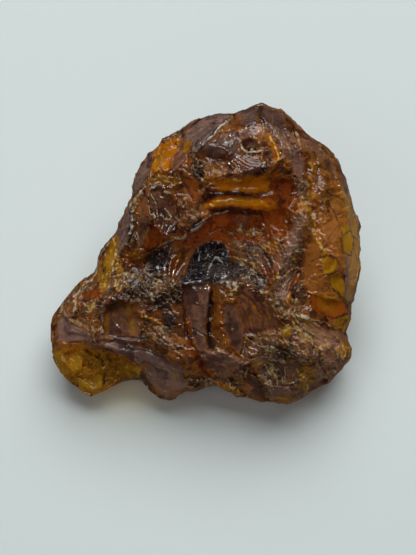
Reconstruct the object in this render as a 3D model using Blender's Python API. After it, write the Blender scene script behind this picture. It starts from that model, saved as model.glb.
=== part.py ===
"""A raw lump of amber, one solid, 62 mm across, lying on a flat break on its underside.

The lump is described on its showing face, which leans back from the table. Places on the face are in
millimetres: x to the right, y up the face, and a height that stands out of the face. The face is a net of
crests and valleys, as broken amber shows: each stretch between two crests is one fracture. The back is a
weathered dome with a few shell-shaped breaks in it. The closed lump is then leant back and cut off flat
where it rests.
"""

import math

import bmesh
import bpy
from mathutils import Matrix, Vector, noise
from mathutils.bvhtree import BVHTree
from mathutils.geometry import delaunay_2d_cdt, intersect_point_line

MM = 0.001

# Driving dimensions, in millimetres and degrees.
FACE_LEAN = 25.0  # how far the showing face leans back from level
REST_BELOW = 17.0  # the table lies this far below the middle of the face
BACK_DEPTH = 21.5  # how deep the back dome is behind the face, before the cut
MESH_STEP = 1.12  # spacing of the mesh points
MESH_GAP = 0.62  # nearest that a grid point comes to a crest, as a share of that spacing
SAME_PLACE = 1e-3  # points nearer than this are one point
SHARP_ANGLE = 38.0  # edges bent more than this are drawn sharp

# The outline of the face, clockwise from the peak at its top.
OUTLINE = (
    (11.0, 30.2), (14.8, 29.0), (16.4, 27.6), (17.0, 26.6), (18.8, 25.2), (20.4, 23.2),
    (22.8, 22.2), (24.6, 20.6), (26.2, 18.8), (28.0, 14.8), (29.4, 10.6), (30.4, 5.8),
    (31.0, 0.8), (31.0, -1.6), (30.2, -6.8), (29.6, -9.2), (28.8, -10.2), (29.0, -12.0),
    (27.2, -15.8), (28.2, -17.2), (29.0, -18.8), (28.8, -20.8), (26.0, -23.6), (25.0, -25.0),
    (21.0, -27.2), (19.4, -28.8), (17.0, -29.8), (15.0, -30.0), (12.8, -29.4), (11.2, -29.6),
    (7.6, -28.4), (6.0, -28.4), (2.2, -26.2), (0.8, -26.0), (-2.2, -27.4), (-4.4, -27.6),
    (-5.8, -28.6), (-7.4, -29.2), (-9.2, -29.0), (-10.8, -27.8), (-13.2, -24.8), (-15.2, -24.8),
    (-17.2, -25.4), (-20.6, -27.4), (-23.0, -28.4), (-24.4, -27.8), (-27.6, -25.2), (-29.8, -22.4),
    (-30.6, -20.8), (-31.0, -17.2), (-31.0, -14.2), (-30.8, -12.4), (-28.4, -9.2), (-25.2, -5.4),
    (-22.8, -3.8), (-21.4, 0.4), (-19.2, 3.4), (-17.8, 4.2), (-16.6, 8.4), (-15.0, 12.2),
    (-15.2, 13.4), (-14.4, 15.2), (-13.0, 18.2), (-11.6, 20.2), (-9.6, 21.8), (-8.8, 23.2),
    (-4.6, 25.0), (-2.6, 26.6), (-0.2, 27.6), (2.2, 28.2), (5.4, 28.2), (8.8, 29.6),
)

# Crests: the sharp lines where two fractures meet and stand proud, as (x, y, height).
CRESTS = {
    "hood_left_edge": (
        (5.4, 27.8, 2.0), (3.2, 25.2, 7.5), (0.4, 22.8, 9.5), (-2.0, 20.8, 9.5), (-2.8, 18.4, 9.5),
    ),
    "hood_crown": (
        (11.0, 29.6, 2.0), (11.2, 26.8, 7.0), (13.8, 24.0, 9.0), (15.6, 20.8, 10.5), (15.4, 17.6, 11.5),
    ),
    "hollow_lip": ((6.8, 21.4, 11.0), (8.8, 20.4, 12.5), (11.2, 20.2, 12.0)),
    "hood_brow": (
        (-0.6, 14.0, 10.0), (1.8, 15.0, 12.0), (6.4, 15.4, 13.5), (11.2, 16.4, 13.5), (15.4, 17.6, 11.5),
        (17.4, 14.0, 9.0),
    ),
    "ledge_step": ((-1.0, 11.4, 9.0), (5.8, 11.8, 11.0), (12.8, 11.2, 10.0)),
    "ledge_foot": ((-1.2, 9.2, 8.0), (5.8, 9.6, 9.5), (13.2, 9.0, 9.0)),
    "right_ridge": (
        (16.8, 26.4, 2.5), (18.8, 20.8, 6.5), (18.0, 15.6, 9.5), (19.2, 7.8, 10.5), (15.6, 0.8, 11.0),
        (14.6, -6.2, 12.0), (14.8, -11.6, 12.5),
    ),
    "right_spur": ((14.8, -11.6, 12.5), (19.8, -12.8, 11.0), (24.4, -14.6, 6.0), (26.8, -15.8, 1.0)),
    "pit_crest": (
        (-5.6, -6.0, 8.5), (-1.2, -5.8, 10.0), (2.0, -4.6, 10.0), (6.4, -6.6, 11.0), (11.2, -8.8, 11.0),
        (14.8, -11.6, 12.5),
    ),
    "fin_outer": ((-12.8, 13.0, 5.0), (-14.4, 8.2, 6.0), (-15.4, 3.2, 6.0), (-17.4, 0.4, 5.0)),
    "fin_inner": ((-12.8, 13.0, 5.0), (-11.4, 10.8, 7.5), (-11.0, 5.8, 8.0), (-11.2, 1.2, 7.0)),
    "left_shoulder": (
        (-17.4, 0.4, 5.0), (-18.6, -2.2, 7.5), (-19.2, -6.8, 8.8), (-20.8, -9.8, 8.8), (-21.4, -14.2, 8.2),
        (-22.4, -17.8, 7.0),
    ),
    "lobe_brow": (
        (-30.2, -19.0, 1.5), (-27.2, -17.8, 4.0), (-22.4, -17.8, 7.0), (-18.0, -19.6, 6.5),
        (-13.4, -22.0, 5.0),
    ),
    "lower_sill": (
        (-22.4, -17.8, 7.0), (-16.2, -17.8, 8.4), (-10.8, -16.8, 9.0), (-4.0, -19.6, 9.5), (1.2, -19.8, 9.5),
        (7.4, -21.6, 10.0),
    ),
    "glass_left": ((-4.6, 24.4, 1.5), (-4.0, 21.6, 5.0), (-6.0, 17.6, 6.5), (-6.8, 14.0, 7.5)),
    "slot_edge": ((-3.8, 4.2, 8.0), (-1.4, 6.8, 9.0), (1.2, 8.0, 8.5)),
    "groove_left": ((-0.8, -7.0, 9.2), (-0.4, -13.2, 9.5), (-0.2, -18.6, 9.2)),
    "shell_edge": ((3.8, -7.6, 10.2), (3.4, -14.2, 10.6), (4.2, -19.0, 10.2)),
    "corner_lobe": ((15.8, -16.4, 12.0), (18.8, -18.8, 12.0), (22.4, -19.6, 9.5), (25.6, -19.6, 5.5)),
    "corner_low": ((8.8, -22.4, 9.0), (12.8, -26.0, 7.5), (17.2, -26.0, 7.5), (21.2, -24.0, 7.5)),
}

# Valleys: the lines at the bottom of a dip, in the same numbers.
VALLEYS = {
    "black_pit": ((-2.0, -0.4, 3.2), (1.2, -2.2, 2.6), (4.0, -2.6, 3.6)),
    "side_pit": ((-10.8, -0.8, 4.5), (-8.8, -1.6, 4.5)),
    "glass_bowl": ((-2.0, 24.4, 3.5), (-0.2, 25.2, 3.5)),
    "ledge_hollow": ((-0.6, 13.0, 8.5), (6.0, 13.0, 10.8), (12.4, 12.8, 9.8)),
    "red_hollow": ((1.8, 6.4, 6.2), (6.8, 5.8, 5.6), (11.2, 5.8, 6.2), (15.6, 5.6, 7.6)),
    "shell_valley": (
        (20.0, 17.8, 6.0), (20.8, 10.8, 7.5), (20.0, 2.8, 8.5), (18.4, -5.2, 9.5), (19.4, -10.8, 9.0),
    ),
    "groove": ((1.0, -8.0, 8.4), (1.2, -13.2, 8.4), (1.4, -18.2, 8.4)),
}

# Single places: the bottom of a hollow or the top of a swelling between the lines.
HOLLOWS_AND_SWELLINGS = {
    "hood": ((8.8, 22.2, 8.5), (7.4, 18.2, 14.0), (2.0, 19.6, 11.5), (6.8, 25.2, 7.5)),
    "upper_left": ((-9.6, 18.8, 4.0), (-9.2, 14.8, 6.0), (-11.2, 16.4, 3.5)),
    "fin_face": ((-12.6, 5.8, 5.2),),
    "middle_left": (
        (-5.2, 10.4, 8.0), (-8.2, 7.6, 6.3), (-6.2, 4.4, 7.0), (-4.8, -1.6, 5.0), (-14.2, -2.8, 5.8),
        (-11.2, -7.2, 8.4), (-7.2, -9.2, 8.2),
    ),
    "dark_facet": ((-16.8, -13.2, 6.4), (-12.8, -12.4, 8.8), (-9.2, -13.2, 7.6)),
    "left_lobe": ((-26.8, -10.6, 3.2), (-24.2, -11.6, 4.8), (-28.0, -14.8, 3.2), (-24.8, -15.2, 4.6)),
    "gold_lobe": (
        (-26.8, -22.0, 3.2), (-23.2, -24.0, 3.0), (-18.8, -22.4, 3.8), (-15.2, -23.0, 2.8),
        (-22.2, -20.8, 4.5),
    ),
    "low_band": (
        (-8.2, -22.4, 7.0), (-11.2, -23.6, 4.5), (-7.6, -26.4, 3.8), (-2.2, -23.6, 7.0), (3.2, -24.0, 6.5),
    ),
    "red_face": ((8.8, -13.2, 9.8), (11.2, -16.2, 10.8), (6.8, -16.8, 9.3), (-3.2, -13.2, 8.8)),
    "middle_right": ((10.8, -1.6, 8.0), (6.8, -1.6, 6.0), (11.2, -5.6, 9.0)),
    "corner_pits": ((15.4, -20.6, 9.2), (12.4, -23.2, 7.8)),
    "shell_dome": (
        (22.6, 18.8, 5.0), (24.0, 12.8, 8.0), (24.8, 5.8, 9.2), (24.4, -1.6, 9.2), (23.2, -8.4, 8.0),
    ),
    "shell_side": (
        (27.8, 5.8, 5.5), (28.4, -0.8, 5.0), (27.2, -7.2, 4.5), (26.4, 11.8, 5.5), (25.8, -11.6, 4.0),
    ),
    "corner_side": ((26.8, -18.2, 3.5), (23.2, -22.8, 6.0), (18.8, -27.6, 3.5), (8.8, -26.2, 4.5)),
}

# Shell-shaped breaks in the back, each as the ball that would fit it: its middle, which is outside the lump,
# and its radius. Places are (x, y, height) on the face, so the back lies at heights under 0.
BACK_BREAKS = {
    "rear_scar": ((3.0, 45.0, -14.0), 22.0),
    "rear_left_scar": ((-26.0, 30.0, -16.0), 19.0),
    "rear_right_scar": ((38.0, 22.0, -14.0), 18.5),
    "right_scar": ((46.0, -6.0, -16.0), 20.5),
    "left_scar": ((-40.0, 6.0, -14.0), 19.5),
    "left_low_scar": ((-38.0, -18.0, -20.0), 17.5),
    "heel_scar": ((-2.0, -40.0, -14.0), 16.5),
}

RIM_BAND = 1.5  # the breaks fade out over this distance below the outline

# How far a fracture sinks between its crests, and how wide its rim is.
SAG_DEPTH = 0.7
SAG_RIM = 2.6

# How far the crests wander sideways off their lines, and over what length. The outline doesn't.
WANDER = 1.0
WANDER_LENGTH = 5.0

# The fine relief: chips, which are hollow and meet in thin crests, and soft lumps. Each layer is given as
# (breadth, height). It stands out from the heart of the lump, and it is calmer this near the outline.
CHIPS = ((9.0, 1.9), (4.4, 0.7))
LUMPS = ((6.0, 0.4),)
HEART = Vector((0.0, 0.0, -8.0))
CALM_BAND = 4.0


def clear_scene():
    """Remove everything that the file came with."""
    for old in list(bpy.data.objects):
        bpy.data.objects.remove(old)


def resampled(points, closed=False):
    """Points about MESH_STEP apart along a line of plan points, keeping its corners."""
    ends = list(points[1:]) + ([points[0]] if closed else [])
    spaced = []
    for start, end in zip(points, ends):
        start, end = Vector(start), Vector(end)
        pieces = max(1, round((end - start).to_2d().length / MESH_STEP))
        spaced += [start.lerp(end, i / pieces) for i in range(pieces)]
    return spaced if closed else spaced + [Vector(points[-1])]


def gap_to_line(place, line):
    """Distance in plan from a place to a line of points."""
    gaps = []
    for start, end in zip(line, line[1:]):
        start, end = Vector(start[:2]), Vector(end[:2])
        foot, share = intersect_point_line(place, start, end)
        nearest = start.lerp(end, min(max(share, 0.0), 1.0))
        gaps.append((place - nearest).length)
    return min(gaps)


def is_among(place, others):
    """Whether the plan place is one of these."""
    return min((place - other).length for other in others) < SAME_PLACE


def triangulated(places, edges):
    """Plan points and triangles that fill the outline and keep these edges."""
    points, _, faces, *_ = delaunay_2d_cdt(places, edges, [], 1, SAME_PLACE / 10.0)
    return points, faces


def chained(lines, closed_first):
    """All the lines' points in one list, and the edges along each line. The first line may be closed."""
    places, edges = [], []
    for number, line in enumerate(lines):
        first = len(places)
        places += [Vector(point[:2]) for point in line]
        edges += [(first + i, first + i + 1) for i in range(len(line) - 1)]
        if closed_first and number == 0:
            edges.append((len(places) - 1, first))
    return places, edges


def broken_face():
    """The showing face as flat triangles between its crests, valleys and single places."""
    rim = [(x, y, 0.0) for x, y in OUTLINE]
    singles = [[place] for group in HOLLOWS_AND_SWELLINGS.values() for place in group]
    lines = [rim, *CRESTS.values(), *VALLEYS.values(), *singles]
    places, edges = chained(lines, closed_first=True)
    heights = {(round(x, 3), round(y, 3)): height for line in lines for x, y, height in line}
    points, faces = triangulated(places, edges)
    corners = []
    for point in points:
        nearest = min(heights, key=lambda known: (Vector(known) - point).length)
        corners.append(Vector((point.x, point.y, heights[nearest])))
    return BVHTree.FromPolygons(corners, faces)


def face_height(surface, place):
    """Height of the face at a plan place, with each fracture sunk between its crests."""
    above = Vector((place.x, place.y, 100.0))
    hit, *_ = surface.ray_cast(above, Vector((0.0, 0.0, -1.0)))
    if hit is None:
        return 0.0
    gap = min(gap_to_line(place, line) for line in CRESTS.values())
    rim_gap = gap_to_line(place, OUTLINE + OUTLINE[:1])
    sag = SAG_DEPTH * (1.0 - math.exp(-((gap / SAG_RIM) ** 2)))
    return hit.z - sag * min(1.0, rim_gap / SAG_RIM)


def reach(angle):
    """Distance from the middle of the face to the outline in this direction."""
    way = Vector((math.cos(angle), math.sin(angle)))
    far = []
    for start, end in zip(OUTLINE, OUTLINE[1:] + OUTLINE[:1]):
        start, end = Vector(start), Vector(end)
        side = end - start
        turn = way.cross(side)
        if turn == 0.0:
            continue
        share = start.cross(way) / turn
        distance = start.cross(side) / turn
        if -SAME_PLACE <= share <= 1.0 + SAME_PLACE and distance > 0.0:
            far.append(distance)
    return max(far)


def back_point(place):
    """Where the back dome stands behind this plan place. It is steep near the outline."""
    if place.length < SAME_PLACE:
        return Vector((0.0, 0.0, -BACK_DEPTH))
    angle = math.atan2(place.y, place.x)
    outline = reach(angle)
    turn = min(place.length / outline, 1.0) * math.pi / 2.0
    way = place.normalized() * outline * math.sin(turn)
    return Vector((way.x, way.y, -BACK_DEPTH * math.cos(turn)))


def grid_places(taken):
    """Plan places in a triangular grid inside the outline, clear of the places already taken."""
    corners = [Vector(point) for point in OUTLINE]
    low = Vector((min(p.x for p in corners), min(p.y for p in corners)))
    high = Vector((max(p.x for p in corners), max(p.y for p in corners)))
    row_step = MESH_STEP * math.sqrt(3.0) / 2.0
    places = []
    for row in range(int((high.y - low.y) / row_step) + 1):
        y = low.y + row * row_step
        for column in range(int((high.x - low.x) / MESH_STEP) + 1):
            place = Vector((low.x + (column + 0.5 * (row % 2)) * MESH_STEP, y))
            clear = all((place - other).length > MESH_GAP * MESH_STEP for other in taken)
            if clear and place.length < reach(math.atan2(place.y, place.x)) - MESH_GAP * MESH_STEP:
                places.append(place)
    return places


def wandered(place):
    """The plan place moved sideways as the crests wander, less and less toward the outline."""
    rim_gap = gap_to_line(place, OUTLINE + OUTLINE[:1])
    shift = noise.noise_vector(Vector((place.x, place.y, 7.0)) / WANDER_LENGTH)
    return place + shift.to_2d() * WANDER * min(1.0, rim_gap / CALM_BAND)


def closed_lump():
    """The face and the back joined along the outline, and the vertices on its crests and valleys."""
    rim = [point.to_2d() for point in resampled(OUTLINE, closed=True)]
    creases = [resampled(line) for line in (*CRESTS.values(), *VALLEYS.values())]
    places, edges = chained([rim, *creases], closed_first=True)
    points, faces = triangulated(places + grid_places(places), edges)

    surface = broken_face()
    lump = bmesh.new()
    front, back, pinned = [], [], set()
    for point in points:
        shared = is_among(point, rim)
        height = 0.0 if shared else face_height(surface, point)
        place = point if shared else wandered(point)
        front.append(lump.verts.new((place.x, place.y, height)))
        back.append(front[-1] if shared else lump.verts.new(back_point(point)))
        if is_among(point, places):
            pinned.add(front[-1])
    for a, b, c in faces:
        lump.faces.new((front[a], front[b], front[c]))
        lump.faces.new((back[c], back[b], back[a]))
    bmesh.ops.recalc_face_normals(lump, faces=lump.faces)
    return lump, pinned


def soften(lump, vertices):
    """Round off the mesh at these vertices."""
    bmesh.ops.smooth_vert(lump, verts=vertices, factor=0.5, use_axis_x=True, use_axis_y=True, use_axis_z=True)


def break_back(lump):
    """Press the shell-shaped breaks into the back, and take the teeth off their rims."""
    for middle, radius in BACK_BREAKS.values():
        middle = Vector(middle)
        for vertex in lump.verts:
            away = vertex.co - middle
            if away.length < radius and vertex.co.z < 0.0:
                share = min(1.0, -vertex.co.z / RIM_BAND)
                vertex.co = vertex.co.lerp(middle + away.normalized() * radius, share)
    soften(lump, [vertex for vertex in lump.verts if vertex.co.z < -RIM_BAND])


def chip_height(place):
    """How far the skin stands out here: about -1/3 in the middle of a chip and 2/3 on the crests around it."""
    nearest = noise.voronoi(place, distance_metric="DISTANCE")[0][0]
    return min(1.0, 1.6 * nearest**2) - 1.0 / 3.0


def roughen(lump):
    """Give the whole skin its chips and lumps, out from the middle of the lump."""
    moves = []
    for vertex in lump.verts:
        calm = min(1.0, 0.2 + abs(vertex.co.z) / CALM_BAND)
        height = sum(tall * noise.noise(vertex.co / wide) for wide, tall in LUMPS)
        height += sum(tall * chip_height(vertex.co / wide) for wide, tall in CHIPS)
        moves.append((vertex.co - HEART).normalized() * height * calm)
    for vertex, move in zip(lump.verts, moves):
        vertex.co += move


def cut_flat(lump):
    """Lean the face back and cut the lump off flat where it rests."""
    lean = Matrix.Rotation(math.radians(FACE_LEAN), 4, "X")
    bmesh.ops.transform(lump, matrix=lean, verts=lump.verts)
    everything = lump.verts[:] + lump.edges[:] + lump.faces[:]
    cut = bmesh.ops.bisect_plane(
        lump, geom=everything, plane_co=(0.0, 0.0, -REST_BELOW), plane_no=(0.0, 0.0, 1.0), clear_inner=True
    )
    loops = [item for item in cut["geom_cut"] if isinstance(item, bmesh.types.BMEdge)]
    bmesh.ops.edgeloop_fill(lump, edges=loops)
    bmesh.ops.recalc_face_normals(lump, faces=lump.faces)


def stand_on_origin(lump):
    """Put the middle of the base at the origin, in metres."""
    xs, ys, zs = zip(*(vertex.co for vertex in lump.verts))
    middle = Vector(((min(xs) + max(xs)) / 2.0, (min(ys) + max(ys)) / 2.0, min(zs)))
    bmesh.ops.translate(lump, verts=lump.verts, vec=-middle)
    bmesh.ops.scale(lump, verts=lump.verts, vec=(MM, MM, MM))


def amber_material():
    """Clear brown resin with a glossy break."""
    amber = bpy.data.materials.new("amber")
    amber.use_nodes = True
    shader = amber.node_tree.nodes["Principled BSDF"]
    shader.inputs["Base Color"].default_value = (0.32, 0.09, 0.02, 1.0)
    shader.inputs["Roughness"].default_value = 0.18
    shader.inputs["Metallic"].default_value = 0.0
    shader.inputs["IOR"].default_value = 1.54
    shader.inputs["Transmission Weight"].default_value = 0.8
    return amber


def make_raw_amber():
    """The whole piece as one object."""
    lump, pinned = closed_lump()
    soften(lump, [vertex for vertex in lump.verts if vertex not in pinned])
    break_back(lump)
    roughen(lump)
    cut_flat(lump)
    stand_on_origin(lump)
    mesh = bpy.data.meshes.new("raw_amber")
    lump.to_mesh(mesh)
    lump.free()
    mesh.materials.append(amber_material())
    mesh.shade_smooth()
    mesh.set_sharp_from_angle(angle=math.radians(SHARP_ANGLE))
    bpy.context.scene.collection.objects.link(bpy.data.objects.new("raw_amber", mesh))


clear_scene()
make_raw_amber()
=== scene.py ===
"""A raw lump of amber on a pale table: broken, glassy, reddish brown, golden where it is thin.

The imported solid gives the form. A fine copy of it is broken up here into fractures, crests, cracks and
ripples, and gets its see-through resin and its pale crust.

The showing face is carved region by region. Places on it are steps of the 416 by 555 frame that the camera
sees, x and y in turn, counted from the region's corner. Widths are such steps too, and rises are millimetres.
"""

from __future__ import annotations

import functools
import logging
import math
import random
from collections.abc import Iterator
from contextlib import contextmanager
from dataclasses import dataclass, field, replace
from enum import Enum

import bpy
import numpy as np
from mathutils import Matrix, Vector, noise

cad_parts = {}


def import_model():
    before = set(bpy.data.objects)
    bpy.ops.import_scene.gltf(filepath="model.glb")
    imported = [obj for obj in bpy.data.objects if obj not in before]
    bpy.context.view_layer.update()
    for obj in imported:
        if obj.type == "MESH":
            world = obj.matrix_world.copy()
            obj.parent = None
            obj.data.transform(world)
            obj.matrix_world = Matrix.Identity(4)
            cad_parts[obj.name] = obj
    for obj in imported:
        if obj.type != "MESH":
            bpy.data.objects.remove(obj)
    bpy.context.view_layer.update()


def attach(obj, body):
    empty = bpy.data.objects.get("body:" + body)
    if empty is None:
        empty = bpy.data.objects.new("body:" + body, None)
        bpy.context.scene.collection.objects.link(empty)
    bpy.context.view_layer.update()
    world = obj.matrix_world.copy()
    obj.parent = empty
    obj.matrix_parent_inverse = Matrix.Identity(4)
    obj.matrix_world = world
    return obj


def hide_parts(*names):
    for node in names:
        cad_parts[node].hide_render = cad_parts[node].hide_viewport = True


log = logging.getLogger("raw_amber")

MM = 0.001
FRAME_WIDTH = 416
FRAME_HEIGHT = 555
STEP_MM = 0.2
SOLID = "raw_amber"
HALF = 0.5
ROUGH = "rough"
CREST = "crest"

Place = tuple[float, float]
Path = tuple[float, ...]
Colour = tuple[float, float, float]


# The view


@dataclass
class View:
    """Where the lump is looked at from, and where each point of it then falls in the frame."""

    elevation: float = 65.0
    distance: float = 0.36
    lens: float = 116.8
    sensor: float = 36.0
    nearest: float = 0.01
    edges: tuple[float, float, float, float] = (51.0, 361.0, 103.5, 404.5)
    aim_rounds: int = 20
    aim: Vector = field(default_factory=Vector)

    def __post_init__(self) -> None:
        """Work out the three directions of the view."""
        lean = math.radians(self.elevation)
        self.right = Vector((1.0, 0.0, 0.0))
        self.toward = Vector((0.0, -math.cos(lean), math.sin(lean)))
        self.up = self.toward.cross(self.right)
        self.focal = self.lens / self.sensor * FRAME_HEIGHT

    @property
    def eye(self) -> Vector:
        """The camera's place."""
        return self.aim + self.toward * self.distance

    def pixels(self, points: np.ndarray) -> np.ndarray:
        """Frame places of points given in metres.

        Args:
            points: One point per row.

        Returns:
            One (x, y) per row.
        """
        away = points - np.array(self.eye)
        depth = -(away @ np.array(self.toward))
        across = away @ np.array(self.right) / depth * self.focal + FRAME_WIDTH / 2
        down = FRAME_HEIGHT / 2 - away @ np.array(self.up) / depth * self.focal
        return np.stack([across, down], axis=1)

    def centre_on(self, points: np.ndarray) -> None:
        """Aim so that the points' outline stands between the edges of the view.

        Args:
            points: The lump's points in metres, one per row.
        """
        left, right, top, bottom = self.edges
        self.aim = Vector(points.mean(axis=0))
        scale = self.distance / self.focal
        for _ in range(self.aim_rounds):
            low, high = self.pixels(points).min(axis=0), self.pixels(points).max(axis=0)
            off = (low + high - np.array((left + right, top + bottom))) / 2
            self.aim = self.aim + self.right * (float(off[0]) * scale) - self.up * (float(off[1]) * scale)

    def add_camera(self) -> None:
        """Put the camera in the scene."""
        lens = bpy.data.cameras.new("view")
        lens.lens = self.lens
        lens.sensor_width = self.sensor
        lens.clip_start = self.nearest
        camera = bpy.data.objects.new("view", lens)
        turn = Matrix((self.right, self.up, self.toward)).transposed().to_4x4()
        camera.matrix_world = Matrix.Translation(self.eye) @ turn
        bpy.context.scene.collection.objects.link(camera)
        bpy.context.scene.camera = camera


# What the face is carved and tinted with


class Tint(Enum):
    """What a place of the skin is tinted with, and the name of the number that says how much."""

    GOLD = "gold"
    HONEY = "honey"
    EMBER = "ember"
    # Cloudy mauve-grey resin with a painted sheen, a painted reflection, laid over it.
    HAZE = "haze"
    # Near-black, laid in the pits, the cracks and some dark spots.
    SOOT = "soot"
    # Pale crust, and the white of painted glints drawn as pale lines.
    PALE = "pale"
    # Painted shade and painted light: SHADE darkens the resin's colour and GLOW brightens it.
    SHADE = "shade"
    GLOW = "glow"
    RUBBLE = "rubble"


GOLD, HONEY, EMBER, HAZE, SOOT, PALE, SHADE, GLOW, RUBBLE = Tint


@dataclass(frozen=True)
class Facet:
    """A smooth fracture: the skin inside an outline is drawn to one leaning, slightly hollow face."""

    name: str
    outline: Path
    lean: Place = (0.0, 0.0)
    sag: float = 0.0
    tint: Tint | None = None
    share: float = 0.0
    soft: float = 2.5


@dataclass(frozen=True)
class Patch:
    """An area with a tint, or with rubble."""

    name: str
    outline: Path
    tint: Tint
    share: float = 1.0
    soft: float = 4.0


@dataclass(frozen=True)
class Ledge:
    """A step: the skin left of the path, as one walks it, stands higher and sinks away with distance."""

    name: str
    path: Path
    reach: float
    rise: float


@dataclass(frozen=True)
class Ripples:
    """Rings of a fracture around a place, inside an outline."""

    name: str
    outline: Path
    centre: Place
    spacing: float
    rise: float
    soft: float = 6.0


@dataclass(frozen=True)
class Line:
    """A ridge, thread, crack or painted glint along a path: its half width, its rise, its tint and how broken
    it is.
    """

    name: str
    path: Path
    width: float
    rise: float
    tint: Tint | None = None
    share: float = 1.0
    broken: float = 0.0

    @property
    def is_thread(self) -> bool:
        """Whether it is a thin crusted thread."""
        return self.tint is PALE and self.share < 1.0


@dataclass(frozen=True)
class Sheaf:
    """Threads that run side by side, from one path to another with as many corners."""

    name: str
    first: Path
    last: Path
    count: int
    tints: tuple[Tint, ...] = (PALE,)
    width: float = 0.75
    rise: float = 0.2
    share: float = 0.8
    broken: float = 0.34
    stray: float = 2.0
    uneven: float = 0.4
    widths: tuple[float, float] = (0.7, 1.2)
    cut_short: tuple[int, ...] = (0, 0, 1)

    def lines(self) -> list[Line]:
        """Lay the threads, each with its own course and length.

        Returns:
            One line per thread.
        """
        draw = random.Random(self.name)
        found = []
        for index in range(self.count):
            over = (index + draw.uniform(-self.uneven, self.uneven)) / max(self.count - 1, 1)
            path = tuple(
                first + (last - first) * over + draw.uniform(-self.stray, self.stray)
                for first, last in zip(self.first, self.last)
            )
            start, end = 2 * draw.choice(self.cut_short), len(path) - 2 * draw.choice(self.cut_short)
            tint = self.tints[index % len(self.tints)]
            width = self.width * draw.uniform(*self.widths)
            found.append(Line(self.name, path[start:end], width, self.rise, tint, self.share, self.broken))
        return found


@dataclass(frozen=True)
class Region:
    """One part of the showing face: its corner in the frame, and its features, the broadest first."""

    name: str
    corner: Place
    features: tuple[Facet | Patch | Ledge | Ripples | Line | Sheaf, ...]


SHOULDER = Region("left shoulder with the smooth trough and the golden window under it", (120, 110), (
    Facet("trough", (68,19, 75,12, 85,7, 97,4, 113,3, 106,11, 96,21, 86,31, 77,40, 70,36, 65,29),
        (0.3, 0.42), 0.5, HAZE, 0.9),
    Facet("trough foot", (65,21, 72,31, 70,42, 62,54, 53,63, 50,55, 55,42, 60,30), (0.1, 0.1), 0.2, HAZE,
        0.45),
    Facet("clear rim", (11,84, 10,77, 16,66, 21,56, 27,47, 35,39, 32,50, 28,62, 26,73, 17,80), (0.1, 0.1),
        0.1, HAZE, 0.8),
    Facet("window left", (30,56, 36,42, 43,40, 40,53, 35,64), (0.15, 0.2)),
    Facet("window right", (44,40, 56,33, 59,38, 52,51, 48,62, 42,60), (-0.2, 0.2)),
    Patch("window", (31,57, 35,44, 42,36, 52,29, 61,29, 58,40, 52,51, 49,62, 41,67, 32,63), GOLD),
    Patch("window pane", (33,50, 40,42, 48,38, 46,50, 38,60), HONEY, 0.45, 3.0),
    Patch("window light", (31,57, 35,44, 42,36, 52,29, 61,29, 58,40, 52,51, 49,62, 41,67, 32,63), GLOW,
        0.35),
    Patch("trough light", (70,30, 78,12, 108,5, 96,21, 78,38), GLOW, 0.35),
    Patch("window bright left", (31,53, 36,52, 38,62, 33,63), GLOW, 1.0, 2.0),
    Patch("window bright right", (43,54, 49,52, 48,63, 42,62), GLOW, 1.0, 2.0),
    Patch("under the window", (25,64, 50,64, 62,72, 56,80, 40,76, 27,74), HONEY, 0.5),
    Patch("ember under the window", (26,60, 36,62, 44,70, 30,74), EMBER, 0.5),
    Patch("flame", (64,32, 72,30, 70,37, 66,44, 62,42), HONEY, 0.9, 2.0),
    Patch("flame tail", (62,42, 67,42, 64,55, 59,60, 59,50), EMBER, 0.7, 3.0),
    Patch("dark nick", (60,20, 66,18, 65,27, 60,26), SOOT, 0.8, 2.0),
    Patch("shoulder crumbs", (40,33, 43,25, 58,19, 62,26, 52,33), RUBBLE, 0.8),
    Patch("window crumbs", (30,55, 40,40, 58,32, 50,60, 60,75, 30,72), RUBBLE, 0.8),
    Line("trough border", (113,6, 106,12, 97,21, 88,30, 81,36, 76,42), 1.6, 0.35, PALE, 0.95, 0.25),
    Line("trough border crack", (108,7, 100,16, 93,23, 86,30, 79,37, 75,41), 1.0, -0.4, SOOT, 0.9),
    Line("trough upper edge", (66,18, 78,9, 92,4.5, 104,3, 112,4), 1.2, 0.1, SOOT, 0.6, 0.3),
    Line("trough streak low", (73,38, 78,31, 86,24, 95,16), 1.3, -0.15, SOOT, 0.6),
    Line("trough streak high", (72,28, 80,23, 88,18), 1.5, -0.08, SOOT, 0.35),
    Line("trough tip", (73,37, 75,41, 77,42, 78,39), 1.2, 0.2, PALE),
    Line("rim seam", (10,86, 17,80, 24,77, 31,74), 0.9, 0.25, PALE, 0.75, 0.1),
    Line("rim olive edge", (9,77, 12,72, 16,65), 1.2, 0.1, HONEY, 0.5),
    Line("rim inner edge", (27,73, 27,62, 31,50, 38,39, 42,32), 1.2, 0.2, PALE, 0.5, 0.5),
    Line("window crack", (31,60, 38,55, 43,48, 46,38), 0.9, -0.3, EMBER, 0.6),
    Line("window crack low", (36,66, 42,58, 50,50), 0.9, -0.3, EMBER, 0.6),
    Line("window crack top", (40,42, 48,40, 58,37), 0.9, -0.25, EMBER, 0.6),
    Line("window thread", (37,68, 43,66, 48,69), 0.9, 0.15, PALE, 0.8, 0.3),
    Line("shoulder crust", (40,36, 38,45, 35,53), 1.5, 0.2, PALE, 0.7, 0.5),
    Line("shoulder crust top", (43,27, 50,25, 58,28, 56,40), 1.6, 0.2, PALE, 0.6, 0.55),
    Line("crumb on the brown slope", (51,58, 54,62, 57,68, 61,70), 1.2, 0.2, PALE, 0.8, 0.4),
    Line("slope crack", (61,62, 63,71, 68,80, 74,90), 1.6, -0.4, SOOT, 0.6),
))

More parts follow.
